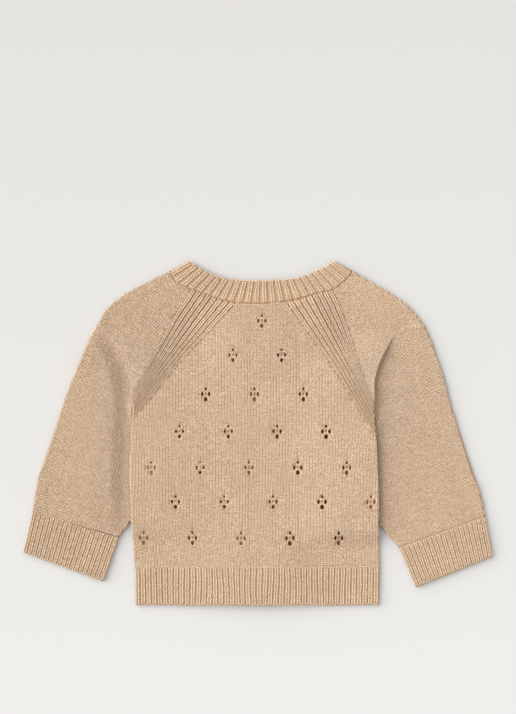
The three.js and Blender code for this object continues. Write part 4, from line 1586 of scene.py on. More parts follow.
@dataclass(frozen=True)
class Hem:
    """Ribbed hem of back and fronts.

    Attributes:
        rows: Rows of the shells.
        wave: Sideways wander of the ribs, as a share of the width.
        back_cut: Flat cut of the back hem.
        front_cut: Flat cut of each front's hem.
    """

    rows: int = 15
    wave: float = 0.0022
    back_cut: Cut = Cut(0.219, 0.034, rests_on=("left_front_hem_cloth", "right_front_hem_cloth"))
    front_cut: Cut = Cut(0.098, 0.034)

    FRONT_RIBS = 20
    BOW = (0.25, 21.0)
    SPAN = (0.02, 0.98)
    BAR_SPAN = (0.04, 0.96)
    FRONT_LEG = 3.5
    BACK_LEG = 4.5
    BACK_BAR = 1.7

    def place(self, v: Array, start: Array, end: Array | float, u: Array) -> tuple[Array, Array]:
        """Plan of a hem between two ends.

        Args:
            v: Rows, 0 at the free edge and 1 at the seam.
            start: x of the first end on each row.
            end: x of the other end.
            u: Columns.

        Returns:
            x and y.
        """
        bow, bows = self.BOW
        y = mix(HEM_BOTTOM, HEM_TOP - SEAM_GAP / 2.0, v)[:, None] + bow * np.sin(u * bows)
        sway = np.sin(v[:, None] * 4.0 + u * 19.0) + 0.5 * np.sin(v[:, None] * 2.5 - u * 47.0)
        sway = self.wave * sway * np.sin(np.pi * u)
        return mix(start, end, u + sway), y

    def back_face(self, v: Array, u: Array) -> Array:
        """Outer face of the back hem.

        Args:
            v: Rows.
            u: Columns, from left to right.

        Returns:
            Points.
        """
        heights = mix(HEM_BOTTOM, HEM_TOP, v)
        left, right = (side.column(1, heights)[:, None] for side in (LEFT, RIGHT))
        x, y = self.place(v, left, right, u)
        inwards = np.minimum(u, 1.0 - u) * (right - left)
        z = Heights.upper(x, y) + HEM_RIB.height(u * HEM_RIBS)
        z = mix(side_seam(x, y) + SEAM_GAP / 2.0, z, Heights.turn(inwards))
        return np.stack([x, y, z], axis=-1)

    def front_face(self, side: Side, v: Array, u: Array) -> Array:
        """Outer face of a front's hem, which is its underside.

        Args:
            side: The front's side.
            v: Rows.
            u: Columns, from the fold to the band.

        Returns:
            Points.
        """
        start = side.column(1, mix(HEM_BOTTOM, HEM_TOP, v))[:, None]
        end = side.sign * (BAND_HALF + SEAM_GAP)
        x, y = self.place(v, start, end, u)
        inwards = u * np.abs(end - start)
        z = Heights.lower(side, x, y) + RIB_ROOM - HEM_RIB.height(u * self.FRONT_RIBS) * UNDER_RIB
        z = mix(side_seam(x, y) - SEAM_GAP / 2.0, z, Heights.turn(inwards))
        return np.stack([x, y, z], axis=-1)

    def build(self, shop: Workshop) -> None:
        """Makes the hem's pieces.

        Args:
            shop: Where they are made.
        """
        v = np.linspace(0.0, 1.0, self.rows)
        for side in (LEFT, RIGHT):
            face = partial(self.front_face, side)
            u = each_row(ribbed_columns(self.FRONT_RIBS), self.rows)
            grid = face(v, u)
            grid = grid[:, ::-1] if side is LEFT else grid
            name = f"{side.name}_front_hem"
            shop.add(f"{name}_cloth", shell(grid, RIB_SHELL), Slot.RIB, name, self.front_cut)
            crests = crest_columns(self.FRONT_RIBS)
            legs = rib_courses(face, side.sign, crests, self.SPAN, self.FRONT_LEG)
            shop.add(f"{name}_stitches", legs, Slot.RIB)
        u = each_row(ribbed_columns(HEM_RIBS), self.rows)
        shop.add("back_hem_cloth", shell(self.back_face(v, u)), Slot.RIB, "back_hem", self.back_cut)
        crests, troughs = crest_columns(HEM_RIBS), trough_columns(HEM_RIBS)
        legs = rib_courses(self.back_face, 1, crests, self.SPAN, self.BACK_LEG)
        bars = rib_courses(self.back_face, 1, troughs, self.BAR_SPAN, self.BACK_BAR, PURL_STITCH)
        shop.add("back_hem_stitches", MeshData.joined([legs, bars]), Slot.RIB)


def evenly(line: Array, count: int) -> Array:
    """A number of points at even distances along a line of points."""
    return points_along(line, np.linspace(0.0, run_along(line)[-1], count))


@dataclass(frozen=True)
class Sleeve:
    """A sleeve, a flat tube up to its crease and a shoulder open between the raglan seams above it.

    Rows v run from 0 at the cuff to 7 at the crease's foot, over the crease's round to 8, and on to
    14 at the neck. Columns u run from 0 at the outer fold to 1 at the inner fold or raglan seam.

    Attributes:
        side: The garment's side.
        cut: Flat cut of the opened sleeve.
    """

    side: Side
    cut: Cut = Cut(0.215, 0.262, 0.0475)

    POINTS = 65
    FOOT = 7.0
    CREST = 8.0
    NECK = 14.0
    LIP_REACH = 0.15
    LIP_CLEARANCE = 0.45
    LIP_FAN = 1.6
    LIP_FADE = (0.7, 0.95)
    LIP_AWAY = (0.9, 0.4)
    LIP_LEAN = 0.3
    BORDER_STEPS = 24
    PLAIN_STEPS = 34
    ROWS = (44, 11, 36)
    FOLD_POWER = 1.3
    UPPER_SPAN = (0.03, 13.97)
    UNDER_SPAN = (0.03, 12.97)
    BORDER_LEG = 0.8
    BORDER_BAR = 0.5
    LIP_BARE = (7.08, 7.8)
    SWELL_RISE = (4.0, 19.0)
    SWELL_FALL = (26.0, 76.0)
    SWELL_LOW = (-125.0, -30.0)
    SWELL_HIGH = (72.0, 96.0)

    def row(self, outer: Array, inner: Array, bow: float) -> Array:
        """Row of knitting between two points, bowed sideways like a parabola.

        Args:
            outer: Its end at the outer fold.
            inner: Its inner end.
            bow: How far it bows.

        Returns:
            Evenly spaced points.
        """
        chord = unit(inner - outer)
        middle = (outer + inner) / 2.0 + np.array([-chord[1], chord[0]]) * -self.side.sign * bow
        t = np.linspace(0.0, 1.0, 200)[:, None]
        return evenly((1.0 - t) ** 2 * outer + 2.0 * t * (1.0 - t) * middle + t * t * inner, self.POINTS)

    @cached_property
    def lip(self) -> Curve:
        """The crease from the outer fold to the underarm."""
        side = self.side
        above = [(row[1], row[0]) for row in reversed(side.edge) if row[0] > side.underarm[1]]
        end = (side.underarm[0] + side.sign * self.LIP_CLEARANCE, side.underarm[1])
        return Curve([*above, end])

    def lip_plan(self, turn: Array, u: Array) -> Array:
        """Plan of the crease's round: an upright half ellipse over each point of the lip.

        Args:
            turn: 0 at its foot, 1 at its top, shape (rows,).
            u: Columns.

        Returns:
            Points, shape (rows, columns, 2).
        """
        side = self.side
        place = self.lip.at(u)
        fade = smoothstep(u, *self.LIP_FADE)
        round_off = 1.0 - np.cos((turn[:, None] - 0.5) * np.pi)
        rise = side.rise(place[..., 0], place[..., 1])
        reach = (self.LIP_REACH * rise * round_off + self.LIP_LEAN * turn[:, None]) * (1.0 - fade)
        away = np.array([-side.sign, 1.0]) * self.LIP_AWAY
        up_seam = unit(np.array(side.raglan_top) - np.array(side.underarm)) * self.LIP_FAN
        return place + reach[..., None] * away + (turn[:, None] * fade)[..., None] * up_seam

    def ends(self, entry: Sequence[float], top: tuple[float, float]) -> tuple[Array, Array]:
        """Outer end of a row of the shoulder table, and its end on the seam that runs to top."""
        underarm = np.array(self.side.underarm)
        return np.array(entry[:2]), mix(underarm, np.array(top), entry[2])

    @cached_property
    def tables(self) -> tuple[Array, Array, Array]:
        """Rows of the upper layer below and above the crease, and of the lower layer."""
        side = self.side
        even = np.linspace(0.0, 1.0, self.POINTS)[None, :]
        tube_rows = [self.row(np.array(r[:2]), np.array(r[2:4]), r[4]) for r in side.sleeve]
        foot, top = (self.lip_plan(np.array([turn]), even)[0] for turn in (0.0, 1.0))
        upper = [self.row(*self.ends(r, side.raglan_top), r[3]) for r in side.shoulder]
        lower = [self.row(*self.ends(r, side.front_raglan_top), r[4]) for r in side.shoulder]
        fold = 0.0 if side is LEFT else 1.0
        neck = BACK_NECK.at(mix(fold, BACK_NECK.share_at_x(side.raglan_top[0]), even[0]))
        front = Curve(side.front_neck_seam)
        front_neck = front.at(mix(1.0, front.share_at_x(side.front_raglan_top[0]), even[0]))
        return (
            np.stack([*tube_rows, foot]),
            np.stack([top, *upper, neck]),
            np.stack([*tube_rows, self.lip.at(even[0]), *lower, front_neck]),
        )

    @cached_property
    def widths(self) -> tuple[Array, Array, Array]:
        """Lengths of the rows of each table."""
        return tuple(np.linalg.norm(np.diff(t, axis=1), axis=2).sum(axis=1) for t in self.tables)

    def width(self, v: Array) -> Array:
        """Width of the upper layer, shape (rows, 1)."""
        table = np.concatenate(self.widths[:2])
        return np.interp(v, np.arange(len(table)), table)[:, None]

    def under_row(self, v: Array) -> Array:
        """Row of the lower layer's table, 0 to 13, that belongs to a row of the upper layer."""
        return np.interp(v, [0.0, self.FOOT, self.CREST, self.NECK], [0.0, 7.0, 7.02, 13.0])

    def plan(self, v: Array, u: Array) -> Array:
        """Plan of the upper layer.

        Args:
            v: Rows.
            u: Columns on each row.

        Returns:
            Points, shape (rows, columns, 2).
        """
        below, above, _ = self.tables
        plan = np.zeros((*u.shape, 2))
        low, high = v <= self.FOOT, v >= self.CREST
        lip = ~(low | high)
        if low.any():
            plan[low] = across_rows(along_rows(below, v[low]), u[low])
        if lip.any():
            plan[lip] = self.lip_plan(v[lip] - self.FOOT, u[lip])
        if high.any():
            plan[high] = across_rows(along_rows(above, v[high] - self.CREST), u[high])
        return plan

    def seam_share(self, v: Array) -> Array:
        """Share of the raglan seam that a row reaches."""
        places = np.arange(self.CREST, self.NECK + 1.0)
        return np.interp(v, places, [0.0, *(row[2] for row in self.side.shoulder), 1.0])

    def border(self, v: Array) -> Array:
        """Width of the ribbed border beside the seam, shape (rows, 1)."""
        return monotone(self.seam_share(v), SLEEVE_SHARES, SLEEVE_BORDER)[:, None]

    def swell(self, x: Array, y: Array) -> Array:
        """Bulge of the sleeve outside the crease, a smooth ridge beside the body.

        Args:
            x: Plan x.
            y: Plan y.

        Returns:
            Height of the bulge.
        """
        away = (x - self.side.column(1, y)) * self.side.sign
        ridge = smoothstep(away, *self.SWELL_RISE) * (1.0 - smoothstep(away, *self.SWELL_FALL))
        along = smoothstep(y, *self.SWELL_LOW) * (1.0 - smoothstep(y, *self.SWELL_HIGH))
        return self.side.swell * ridge * along

    def upper_face(self, v: Array, u: Array) -> Array:
        """Outer face of the upper layer.

        Args:
            v: Rows.
            u: Columns on each row.

        Returns:
            Points, shape (rows, columns, 3).
        """
        width = self.width(v)
        over = smoothstep(v, self.FOOT, self.CREST)[:, None]
        u = np.minimum(u, 1.0 - np.where(v[:, None] >= self.CREST, RAGLAN_GAP, 0.0) / width)
        plan = self.plan(v, u)
        x, y = plan[..., 0], plan[..., 1]
        flat = UPPER_TOP - YARN + Heights.drape(x, y)
        lip_place = self.lip.at(u)
        lip_rise = self.side.rise(lip_place[..., 0], lip_place[..., 1])
        turn = 0.5 - 0.5 * np.cos(np.clip(v - self.FOOT, 0.0, 1.0) * np.pi)[:, None]
        below = flat + lip_rise * turn + self.swell(x, y) * (1.0 - turn)
        z = np.where(v[:, None] >= self.CREST, Heights.upper(x, y), below)
        inwards = (1.0 - u) * width
        border = self.border(v)
        ribs = np.where(inwards < border, BORDER_RIB.height(inwards / border * BORDER_RIBS), 0.0)
        z = z + ribs * smoothstep(v, self.CREST, self.CREST + 0.3)[:, None]
        z = mix(MID_FOLD, z, Heights.turn(u * width))
        inner_fold = mix(Heights.turn(inwards), 1.0, over)
        return np.stack([x, y, mix(MID_FOLD + SEAM_GAP / 2.0, z, inner_fold)], axis=-1)

    def under_width(self, rows: Array) -> Array:
        """Width of the lower layer at rows of its table, shape (rows, 1)."""
        return np.interp(rows, np.arange(len(self.widths[2])), self.widths[2])[:, None]

    def lower_face(self, rows: Array, u: Array) -> Array:
        """Outer face of the lower layer, which is its underside.

        Args:
            rows: Row numbers in the lower layer's table.
            u: Columns on each row.

        Returns:
            Points, shape (rows, columns, 3).
        """
        width = self.under_width(rows)
        plan = across_rows(along_rows(self.tables[2], rows), u)
        z = mix(MID_FOLD, YARN, Heights.turn(u * width))
        z = mix(MID_FOLD - SEAM_GAP / 2.0, z, Heights.turn((1.0 - u) * width))
        return over(plan, z)

    def grid(self) -> Array:
        """Grid round the whole sleeve.

        Returns:
            Points, shape (rows, columns, 3).
        """
        ends = (0.0, self.FOOT, self.CREST, self.NECK)
        below, lip, above = (np.linspace(*ends[i : i + 2], rows) for i, rows in enumerate(self.ROWS))
        v = np.concatenate([below[:-1], lip, above[1:]])
        width = self.width(v)
        border = self.border(v) / width
        fold = fold_shares(width)
        steps = each_row(np.arange(self.BORDER_STEPS + 1) / self.BORDER_STEPS, len(v))
        power = mix(self.FOLD_POWER, 1.0, smoothstep(v, self.FOOT - 0.5, self.CREST))[:, None]
        seam_part = 1.0 - (steps**power)[:, ::-1] * border
        columns = []
        for inner in (seam_part, 1.0 - fold[:, ::-1]):
            plain = spaced(fold[:, -1:], inner[:, :1], self.PLAIN_STEPS)
            columns.append(np.concatenate([fold, plain, inner], axis=1))
        lower = self.lower_face(self.under_row(v), columns[1])
        return tube(self.side, self.upper_face(v, columns[0]), lower)

    @staticmethod
    def wales(width: Array, margin: float) -> tuple[Array, Array]:
        """Columns of plain knitting, evenly spaced from the middle of each row.

        Args:
            width: Width of each row, shape (rows, 1).
            margin: Distance from both folds that is kept free.

        Returns:
            Columns, and which of them lie clear of the folds.
        """
        count = int(width.max() / WALE) + 1
        u = 0.5 + (np.arange(count) - (count - 1) / 2.0)[None, :] * WALE / width
        keep = (u * width > margin) & ((1.0 - u) * width > margin)
        return np.clip(u, 0.0, 1.0), keep

    def stitches(self) -> MeshData:
        """Plain knitting of the upper layer.

        Returns:
            The stitches.
        """
        v = level_courses(self.upper_face, *self.UPPER_SPAN, 0.5)
        u, keep = self.wales(self.width(v), 0.25)
        inwards = (1.0 - u) * self.width(v)
        border = self.border(v)
        above = v[:, None] > self.CREST
        marks = ((np.arange(len(v)) % Back.MARK_EVERY == 0)[:, None]) & (inwards < border + WALE)
        round_lip = (v[:, None] > self.LIP_BARE[0]) & (v[:, None] < self.LIP_BARE[1])
        keep = keep & ~round_lip & np.where(above, (inwards > border) & ~marks, True)
        knitting = Knitting(self.upper_face, -self.side.sign, (0.01, 0.003))
        return knitting.lay(v, u, keep, WALE, KNIT_STITCH)

    def under_stitches(self) -> MeshData:
        """Plain knitting of the underside.

        Returns:
            The stitches.
        """
        rows = level_courses(self.lower_face, *self.UNDER_SPAN, 0.5)
        u, keep = self.wales(self.under_width(rows), 1.0)
        knitting = Knitting(self.lower_face, self.side.sign, (0.01, 0.003))
        return knitting.lay(rows, u, keep, WALE, KNIT_STITCH)

    def border_stitches(self) -> MeshData:
        """Stitches on the ribs beside the raglan seam.

        Returns:
            The stitches.
        """
        v = level_courses(self.upper_face, self.CREST + 0.15, self.UPPER_SPAN[1], 0.97)
        width, border = self.width(v), self.border(v)
        u = 1.0 - crest_columns(BORDER_RIBS)[None, :] * border / width
        keep = np.ones(u.shape, bool)
        knitting = Knitting(self.upper_face, -self.side.sign, (0.01, 0.002))
        rib = border[:, 0] / BORDER_RIBS
        legs = knitting.lay(v, u, keep, rib * self.BORDER_LEG, RIB_STITCH)
        troughs = 1.0 - trough_columns(BORDER_RIBS)[None, :] * border / width
        bars = knitting.lay(v, troughs, keep[:, 1:], rib * self.BORDER_BAR, PURL_STITCH)
        return MeshData.joined([legs, bars])

    def build(self, shop: Workshop) -> None:
        """Makes the sleeve's pieces.

        Args:
            shop: Where they are made.
        """
        name = f"{self.side.name}_sleeve"
        shop.add(f"{name}_cloth", shell(self.grid()), Slot.SLEEVE, name, self.cut)
        shop.add(f"{name}_stitches", self.stitches(), Slot.SLEEVE)
        shop.add(f"{name}_under_stitches", self.under_stitches(), Slot.SLEEVE)
        shop.add(f"{name}_border_stitches", self.border_stitches(), Slot.SLEEVE)


@dataclass(frozen=True)
class Cuff:
    """A ribbed cuff, a flat tube.

    Attributes:
        side: The garment's side.
        cut: Flat cut of the opened cuff.
    """

    side: Side
    cut: Cut = Cut(0.152, 0.040)

    ROWS = 14
    LEG = 3.8
    BAR = 1.5
    LAST_COLUMN = 0.999

    def plan(self, v: Array, u: Array) -> Array:
        """Plan of the cuff.

        Args:
            v: Rows, 0 at the free edge and 1 at the sleeve.
            u: Columns, from the outer fold inwards.

        Returns:
            Points, shape (rows, columns, 2).
        """
        low = np.array(self.side.cuff).reshape(2, 2)
        top = np.array(self.side.sleeve[0][:4]).reshape(2, 2)
        top = top + unit(low[0] - top[0]) * SEAM_GAP
        ends = mix(low[None], top[None], v[:, None, None])
        return mix(ends[:, :1], ends[:, 1:], u[..., None])

    def folds(self, v: Array, u: Array) -> Array:
        """Turn of both folds.

        Args:
            v: Rows.
            u: Columns.

        Returns:
            0 at a fold, 1 away from it.
        """
        ends = self.plan(v, np.array([[0.0, 1.0]] * len(v)))
        width = np.linalg.norm(ends[:, 1] - ends[:, 0], axis=-1)[:, None]
        return Heights.turn(np.minimum(u, 1.0 - u) * width)

    def upper_face(self, v: Array, u: Array) -> Array:
        """Outer face of the upper layer.

        Args:
            v: Rows.
            u: Columns.

        Returns:
            Points, shape (rows, columns, 3).
        """
        plan = self.plan(v, u)
        flat = UPPER_TOP - YARN + Heights.drape(plan[..., 0], plan[..., 1])
        z = mix(MID_FOLD, flat + HEM_RIB.height(u * CUFF_RIBS), self.folds(v, u))
        return over(plan, z)

    def lower_face(self, v: Array, u: Array) -> Array:
        """Outer face of the lower layer, which is its underside, shape (rows, columns, 3)."""
        ribs = YARN + RIB_ROOM - HEM_RIB.height(u * CUFF_RIBS) * UNDER_RIB
        return over(self.plan(v, u), mix(MID_FOLD, ribs, self.folds(v, u)))

    def build(self, shop: Workshop) -> None:
        """Makes the cuff's pieces.

        Args:
            shop: Where they are made.
        """
        side = self.side
        v = np.linspace(0.0, 1.0, self.ROWS)
        columns = np.clip(ribbed_columns(CUFF_RIBS), 0.0, self.LAST_COLUMN)
        u = each_row(columns, len(v))
        grid = tube(side, self.upper_face(v, u), self.lower_face(v, u))
        name = f"{side.name}_cuff"
        shop.add(f"{name}_cloth", shell(grid, CUFF_SHELL), Slot.RIB, name, self.cut)
        crests = crest_columns(CUFF_RIBS)
        upper = rib_courses(self.upper_face, -side.sign, crests, Hem.SPAN, self.LEG)
        lower = rib_courses(self.lower_face, side.sign, crests, Hem.SPAN, self.LEG)
        troughs = trough_columns(CUFF_RIBS)
        bars = rib_courses(self.upper_face, -side.sign, troughs, Hem.BAR_SPAN, self.BAR, PURL_STITCH)
        shop.add(f"{name}_stitches", MeshData.joined([upper, lower, bars]), Slot.RIB)


@dataclass(frozen=True)
class Neckband:
    """Ribbed band round the back neck and along both front necks.

    Attributes:
        rows: Rows of the shell.
        front_ribs: Ribs along each front neck.
        cut: Flat cut.
    """

    rows: int = 12
    front_ribs: int = 14
    cut: Cut = Cut(0.37, 0.021)

    SPAN = (0.03, 0.97)
    BAR_SPAN = (0.05, 0.95)
    BACK_LEG = 4.3
    BACK_BAR = 2.6
    FRONT_LEG = 3.3

    def between(self, seam: Curve, edge: Curve, v: Array, u: Array) -> tuple[Array, float]:
        """Plan between the neck seam and the band's edge.

        Args:
            seam: The seam.
            edge: The edge.
            v: Rows, 0 at the seam and 1 at the edge.
            u: Shares along both.

        Returns:
            Points and mean length.
        """
        gap = NECK_GAP / float(np.linalg.norm(seam.at(0.5) - edge.at(0.5)))
        height = mix(gap, 1.0, v)[:, None, None]
        return mix(seam.at(u), edge.at(u), height), (seam.length + edge.length) / 2.0

    def back_face(self, v: Array, u: Array) -> Array:
        """Outer face at the back neck.

        Args:
            v: Rows.
            u: Columns, from the left fold to the right one.

        Returns:
            Points, shape (rows, columns, 3).
        """
        plan, length = self.between(BACK_NECK, BACK_NECK_EDGE, v, u)
        z = Heights.upper(plan[..., 0], plan[..., 1]) + NECK_RIB.height(u * NECK_RIBS)
        z = mix(MID_FOLD, z, Heights.turn(np.minimum(u, 1.0 - u) * length))
        return over(plan, z)

    def front_face(self, side: Side, v: Array, u: Array) -> Array:
        """Outer face at a front neck, which is its underside.

        Args:
            side: The front's side.
            v: Rows.
            u: Columns, from the band to the fold.

        Returns:
            Points, shape (rows, columns, 3).
        """
        curves = Curve(side.front_neck_seam), Curve(side.front_neck_edge)
        plan, length = self.between(*curves, v, u)
        ribs = RIB_ROOM - NECK_RIB.height(u * self.front_ribs) * UNDER_RIB
        z = Heights.lower(side, plan[..., 0], plan[..., 1]) + ribs
        z = mix(MID_FOLD, z, Heights.turn((1.0 - u) * length))
        return over(plan, z)

    def build(self, shop: Workshop) -> None:
        """Makes the neckband's pieces.

        Args:
            shop: Where they are made.
        """
        v = np.linspace(0.0, 1.0, self.rows)
        u = each_row(ribbed_columns(self.front_ribs), self.rows)
        left, right = self.front_face(LEFT, v, u), self.front_face(RIGHT, v, u)
        back = self.back_face(v, each_row(ribbed_columns(NECK_RIBS), self.rows))
        grid = np.concatenate([left, back[:, 1:], right[:, ::-1][:, 1:]], axis=1)
        shop.add("neckband_cloth", shell(grid, RIB_SHELL), Slot.RIB, "neckband", self.cut)
        crests, troughs = crest_columns(NECK_RIBS), trough_columns(NECK_RIBS)
        legs = [
            rib_courses(self.back_face, 1, crests, self.SPAN, self.BACK_LEG),
            rib_courses(self.back_face, 1, troughs, self.BAR_SPAN, self.BACK_BAR, PURL_STITCH),
        ]
        for side in (LEFT, RIGHT):
            face = partial(self.front_face, side)
            crests = crest_columns(self.front_ribs)
            legs.append(rib_courses(face, -side.sign, crests, self.SPAN, self.FRONT_LEG))
        shop.add("neckband_stitches", MeshData.joined(legs), Slot.RIB)


@dataclass(frozen=True)
class Bands:
    """The two front bands, one over the other, with buttonholes in the outer one.

    Attributes:
        hole: Width and length of a buttonhole.
        cut: Flat cut of a band.
    """

    hole: tuple[float, float] = (1.2, 10.0)
    cut: Cut = Cut(0.022, 0.269)

    ROWS = 60
    SPAN = (0.004, 0.996)
    LEG = 3.6
    CREST_ROOM = 0.6
    RIB_SHARE = 0.5

    def face(self, bottom: float, v: Array, u: Array) -> Array:
        """Outer face of a band, which is its underside.

        Args:
            bottom: Level of the band's crests.
            v: Rows.
            u: Columns, from right to left.

        Returns:
            Points, shape (rows, columns, 3).
        """
        x = mix(BAND_HALF, -BAND_HALF, u)
        y = mix(HEM_BOTTOM, BAND_TOP, v)[:, None] + 0.0 * u
        z = bottom + self.CREST_ROOM - BORDER_RIB.height(u * BAND_RIBS) * self.RIB_SHARE
        return np.stack([x, y, z + 0.0 * x], axis=-1)

    def build(self, shop: Workshop) -> None:
        """Makes both bands.

        Args:
            shop: Where they are made.
        """
        v = np.linspace(0.0, 1.0, self.ROWS)
        columns = ribbed_columns(BAND_RIBS)
        u = each_row(columns, len(v))
        for name, bottom in (("buttonhole_band", LOWER_BAND), ("button_band", UPPER_BAND)):
            face = partial(self.face, bottom)
            band = shop.add(f"{name}_cloth", shell(face(v, u), BAND_SHELL), Slot.RIB, name, self.cut)
            crests = crest_columns(BAND_RIBS)
            legs = rib_courses(face, 1, crests, self.SPAN, self.LEG)
            if name == "buttonhole_band":
                holes = [prism(0.0, y, *self.hole, 1.0, 4.6, 16) for y in Buttons.heights()]
                shop.cut(band, MeshData.joined(holes))
            shop.add(f"{name}_stitches", legs, Slot.RIB)


def lathe(profile: Sequence[tuple[float, float]], sides: int) -> MeshData:
    """Closed body turned round the Z axis, in triangles.

    Args:
        profile: Radius and height from the lower middle outwards, up and back to the upper middle.
        sides: Number of sides.

    Returns:
        The body.
    """
    inner = np.array(profile[1:-1])
    angle = np.arange(sides) * 2.0 * np.pi / sides
    x = inner[:, :1] * np.cos(angle)
    y = inner[:, :1] * np.sin(angle)
    z = inner[:, 1:] + 0.0 * x
    low, top = (np.array([0.0, 0.0, profile[end][1]]) for end in (0, -1))
    return capped(np.stack([x, y, z], axis=-1), low, top)


@dataclass(frozen=True)
class Buttons:
    """Five four-hole buttons, their faces down, sewn through the button band.

    Attributes:
        radius: Radius of a button.
        height: Its thickness.
    """

    radius: float = 5.5
    height: float = 1.8

    TOP_Y = 104.0
    LOW_Y = -137.0
    COUNT = 5
    HOLE_OFFSET = 1.15
    HOLE = 1.3
    SIDES = 40

    @classmethod
    def heights(cls) -> Array:
        """Places of the buttons along Y."""
        return np.linspace(cls.TOP_Y, cls.LOW_Y, cls.COUNT)

    def corners(self, y: float) -> list[tuple[float, float]]:
        """Middles of the four holes of the button at y."""
        step = self.HOLE_OFFSET
        return [(x, y + dy) for x in (-step, step) for dy in (-step, step)]

    def profile(self) -> list[tuple[float, float]]:
        """Radius and height of the turned form, from its face to its back."""
        r, top = self.radius, self.height
        return [
            (0.0, 0.5), (r - 1.9, 0.5), (r - 1.5, 0.38), (r - 1.15, 0.08), (r - 0.8, 0.0), (r - 0.35, 0.06),
            (r - 0.08, 0.35), (r, 0.8), (r - 0.1, 1.25), (r - 0.4, top - 0.1), (r - 0.8, top), (0.0, top),
        ]

    def thread(self, y: float) -> MeshData:
        """Sewing thread: two bars on the face and a shank up to the band.

        Args:
            y: The button's place.

        Returns:
            The thread, closed bodies.
        """
        step = self.HOLE_OFFSET
        bars = [prism(x, y, 0.6, 2.0 * step + 0.9, 0.2, 0.6, 10) for x in (-step, step)]
        shank = prism(0.0, y, 2.2, 2.2, self.height - 0.05, UPPER_BAND + 0.5, 12)
        legs = [prism(x, at, 0.7, 0.7, 0.4, self.height + 0.1, 8) for x, at in self.corners(y)]
        return MeshData.joined([*bars, shank, *legs])

    def build(self, shop: Workshop) -> None:
        """Makes the buttons and their thread.

        Args:
            shop: Where they are made.
        """
        for i, y in enumerate(self.heights()):
            form = lathe(self.profile(), self.SIDES)
            moved = MeshData(form.points + np.array([0.0, y, 0.0]), form.faces)
            button = shop.add(f"button_{i + 1}_form", moved, Slot.BUTTON, f"button_{i + 1}")
            holes = [prism(x, at, self.HOLE, self.HOLE, -1.0, 3.0) for x, at in self.corners(y)]
            shop.cut(button, MeshData.joined(holes))
            shop.add(f"button_{i + 1}_thread", self.thread(y), Slot.RIB)


class Seams:
    """Linked seams and knitted-on edges, as chains of small beads that close the gaps."""

    SEAM = 0.5
    EDGE = 0.62
    SHARES = (0.01, 0.995, 60)
    NECK_SHARES = (0.012, 0.988, 160)
    EDGE_SHARES = (0.015, 0.985, 160)
    CUFF_SHARES = (0.015, 0.985, 90)
    HEM_POINTS = 180

    def line(self, plan: Array, z: Array | float) -> Array:
        """Points of a line over plan points, shape (points, 3)."""
        return np.column_stack([plan, np.broadcast_to(z, len(plan))])

    def raglan(self, side: Side, back: bool) -> MeshData:
        """Seam between sleeve and back, or sleeve and front.

        Args:
            side: The garment's side.
            back: Whether it is the back's.

        Returns:
            The seam.
        """
        top = side.raglan_top if back else side.front_raglan_top
        plan = mix(np.array(side.underarm), np.array(top), np.linspace(*self.SHARES)[:, None])
        if back:
            level = Heights.upper(*plan.T) - BORDER_RIB.groove - 0.15
        else:
            level = Heights.lower(side, *plan.T) + self.SEAM / 2.0
        return cord(self.line(plan, level), self.SEAM, 0.2)

    def neck(self) -> MeshData:
        """Seam between back and neckband."""
        share = np.linspace(*self.NECK_SHARES)
        plan = mix(BACK_NECK.at(share), BACK_NECK_EDGE.at(share), 0.02)
        level = Heights.upper(*plan.T) - 0.55
        return cord(self.line(plan, level), self.SEAM, 0.3, 2.6)

    def neck_edge(self) -> MeshData:
        """Bound-off edge of the neckband at the back neck."""
        plan = BACK_NECK_EDGE.at(np.linspace(*self.EDGE_SHARES))
        level = Heights.upper(*plan.T) - 0.3
        return cord(self.line(plan, level), self.EDGE, 0.22, 3.1)

    def hem(self, y: float, radius: float, drop: float) -> MeshData:
        """Line across the back hem.

        Args:
            y: Its place.
            radius: Its radius.
            drop: How far it lies below the cloth's face.

        Returns:
            The line.
        """
        left, right = (float(side.column(1, y)) + side.sign * -1.2 for side in (LEFT, RIGHT))
        x = np.linspace(left, right, self.HEM_POINTS)
        level = Heights.upper(x, np.full_like(x, y)) - drop
        return cord(np.column_stack([x, np.full_like(x, y), level]), radius, 0.3, 2.5)

    def cuff(self, side: Side, v: float, radius: float) -> MeshData:
        """Line across the upper layer of a cuff.

        Args:
            side: The garment's side.
            v: Its row.
            radius: Its radius.

        Returns:
            The line.
        """
        points = Cuff(side).upper_face(np.array([v]), np.linspace(*self.CUFF_SHARES)[None])[0]
        points[:, 2] = UPPER_TOP - YARN - 0.2
        return cord(points, radius, 0.3, 2.3)

    def build(self, shop: Workshop) -> None:
        """Makes all seams and edges.

        Args:
            shop: Where they are made.
        """
        for side in (LEFT, RIGHT):
            # The raglan seams take the ground finish, darker than the yarn: painted shade of their grooves.
            for name, back in (("raglan_seam", True), ("front_raglan_seam", False)):
                seam = self.raglan(side, back)
                shop.add(f"{side.name}_{name}", seam, Slot.BODY, layer=Layer.SHADED_GROUND_AND_BUTTON)
            cuff = MeshData.joined([self.cuff(side, 0.01, self.EDGE), self.cuff(side, 1.0, self.SEAM)])
            shop.add(f"{side.name}_cuff_edges", cuff, Slot.RIB)
        # The neck seam takes the ground finish: painted shade of its groove.
        shop.add("neck_seam", self.neck(), Slot.RIB, layer=Layer.SHADED_GROUND_AND_BUTTON)
        shop.add("neck_edge", self.neck_edge(), Slot.RIB)
        shop.add("back_hem_seam", self.hem(HEM_TOP, self.SEAM, 0.2), Slot.RIB)
        shop.add("back_hem_edge", self.hem(HEM_BOTTOM + 0.5, self.EDGE, 0.5), Slot.RIB)


